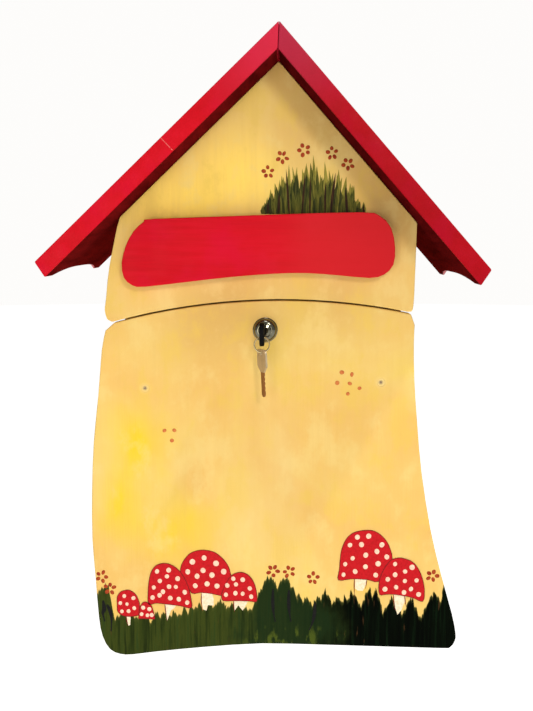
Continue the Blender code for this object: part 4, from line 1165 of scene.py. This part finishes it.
layers = tuft_layer("blade_light", light_blade, TUFT_TOPS + spread(24, 0.66, 1.0), 0.0046, 0.00002)
layers += tuft_layer("blade_mid", mid_blade, spread(38, 0.40, 0.92), 0.0056, 0.00018)
layers += tuft_layer("blade_dark", dark_blade, spread(24, 0.30, 0.84), 0.0062, 0.00034)
layers += tuft_layer("blade_mid_front", mid_blade, spread(22, 0.45, 0.80), 0.0042, 0.00046)
layers += tuft_layer("blade_brown", brown_blade, spread(9, 0.55, 1.0), 0.0025, 0.00058)
gather("grass_tuft", layers, "case")

# %% [markdown]
# Every hinge leaf and bracket is held by small cross-head screws. One head is modelled: a low dome, with two
# slots cut into it by thin blocks. Copies of it are set on the plates, each turned a little differently,
# because nobody stops a screw at the same angle twice.


# %% Screws in the hinges and brackets
def screw_model(finish):
    """A screw head of radius 1 that faces the front, with a cross cut in it."""
    lift = 0.42
    head = dab_model("screw_head", finish, points=20, lift=lift)
    for width, height in ((1.15, 0.22), (0.22, 1.15)):
        deselect_all()
        bpy.ops.mesh.primitive_cube_add(size=1, location=(0, -lift, 0), scale=(width, 0.34, height))
        block = bpy.context.object
        only(head)
        slot = head.modifiers.new("cross_slot", "BOOLEAN")
        slot.object = block
        bpy.ops.object.modifier_apply(modifier=slot.name)
        remove(block)
    bpy.ops.object.shade_smooth_by_angle(angle=math.radians(35))
    return head


FACING = {
    "front": Matrix.Identity(4),
    "back": Matrix.Rotation(math.pi, 4, "Z"),
    "down": Matrix.Rotation(math.pi / 2, 4, "X"),
}
SCREW_RADIUS = 0.0021


def screw(place, facing):
    made = bpy.data.objects.new("screw", screw_head.data.copy())
    bpy.context.scene.collection.objects.link(made)
    spin = Matrix.Rotation(random.uniform(0, math.pi), 4, "Y")
    made.matrix_world = Matrix.Translation(place) @ FACING[facing] @ spin @ Matrix.Scale(SCREW_RADIUS, 4)
    return made


def middle(name):
    """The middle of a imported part's box."""
    low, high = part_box(name)
    return (low + high) / 2


LEAF = 0.001
BRACKET_FOOT = 2 * LEAF
BRACKET_X = 0.1145
FLAP_TILT = math.radians(1.8)
FLAP_SCREWS, DOOR_SCREWS, BRACKET_SCREWS = (-0.013, 0, 0.013), (-0.017, 0, 0.017), (-0.006, 0.006)
FLAP_SCREW_DROP, CASE_SCREW_BACK, DOOR_SCREW_DROP = 0.0035, 0.004, 0.003
screw_head = screw_model(zinc)
screws = {"case": [], "flap": [], "door": []}
flap_run = Vector((math.cos(FLAP_TILT), 0, math.sin(FLAP_TILT)))
for side, sign in (("left", -1), ("right", 1)):
    plate = middle(f"flap_hinge_{side}_fixed") - Vector((0, 0, FLAP_SCREW_DROP))
    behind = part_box(f"flap_hinge_{side}_fixed")[1].y - LEAF
    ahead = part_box(f"flap_hinge_{side}_leaf")[0].y + LEAF
    for reach in FLAP_SCREWS:
        spot = plate + flap_run * reach
        screws["case"].append(screw((spot.x, behind, spot.z), "front"))
        screws["flap"].append(screw((spot.x, ahead, spot.z), "back"))
    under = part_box(f"door_hinge_{side}_fixed")[1].z - LEAF
    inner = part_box(f"door_hinge_{side}_leaf")[0].y + LEAF
    fixed, moving = middle(f"door_hinge_{side}_fixed"), middle(f"door_hinge_{side}_leaf")
    for reach in DOOR_SCREWS:
        screws["case"].append(screw((fixed.x + reach, fixed.y + CASE_SCREW_BACK, under), "down"))
        screws["door"].append(screw((moving.x + reach, inner, moving.z - DOOR_SCREW_DROP), "back"))
    bracket, foot = middle(f"stay_bracket_{side}"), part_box(f"stay_bracket_{side}")[0].y + BRACKET_FOOT
    for rise in BRACKET_SCREWS:
        screws["door"].append(screw((sign * BRACKET_X, foot, bracket.z + rise), "back"))
gather("case_screws", screws["case"], nodes["flap_hinge_left_fixed"]["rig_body"])
gather("flap_screws", screws["flap"], nodes["flap_hinge_left_leaf"]["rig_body"])
gather("door_screws", screws["door"], nodes["stay_bracket_left"]["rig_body"])
remove(screw_head)
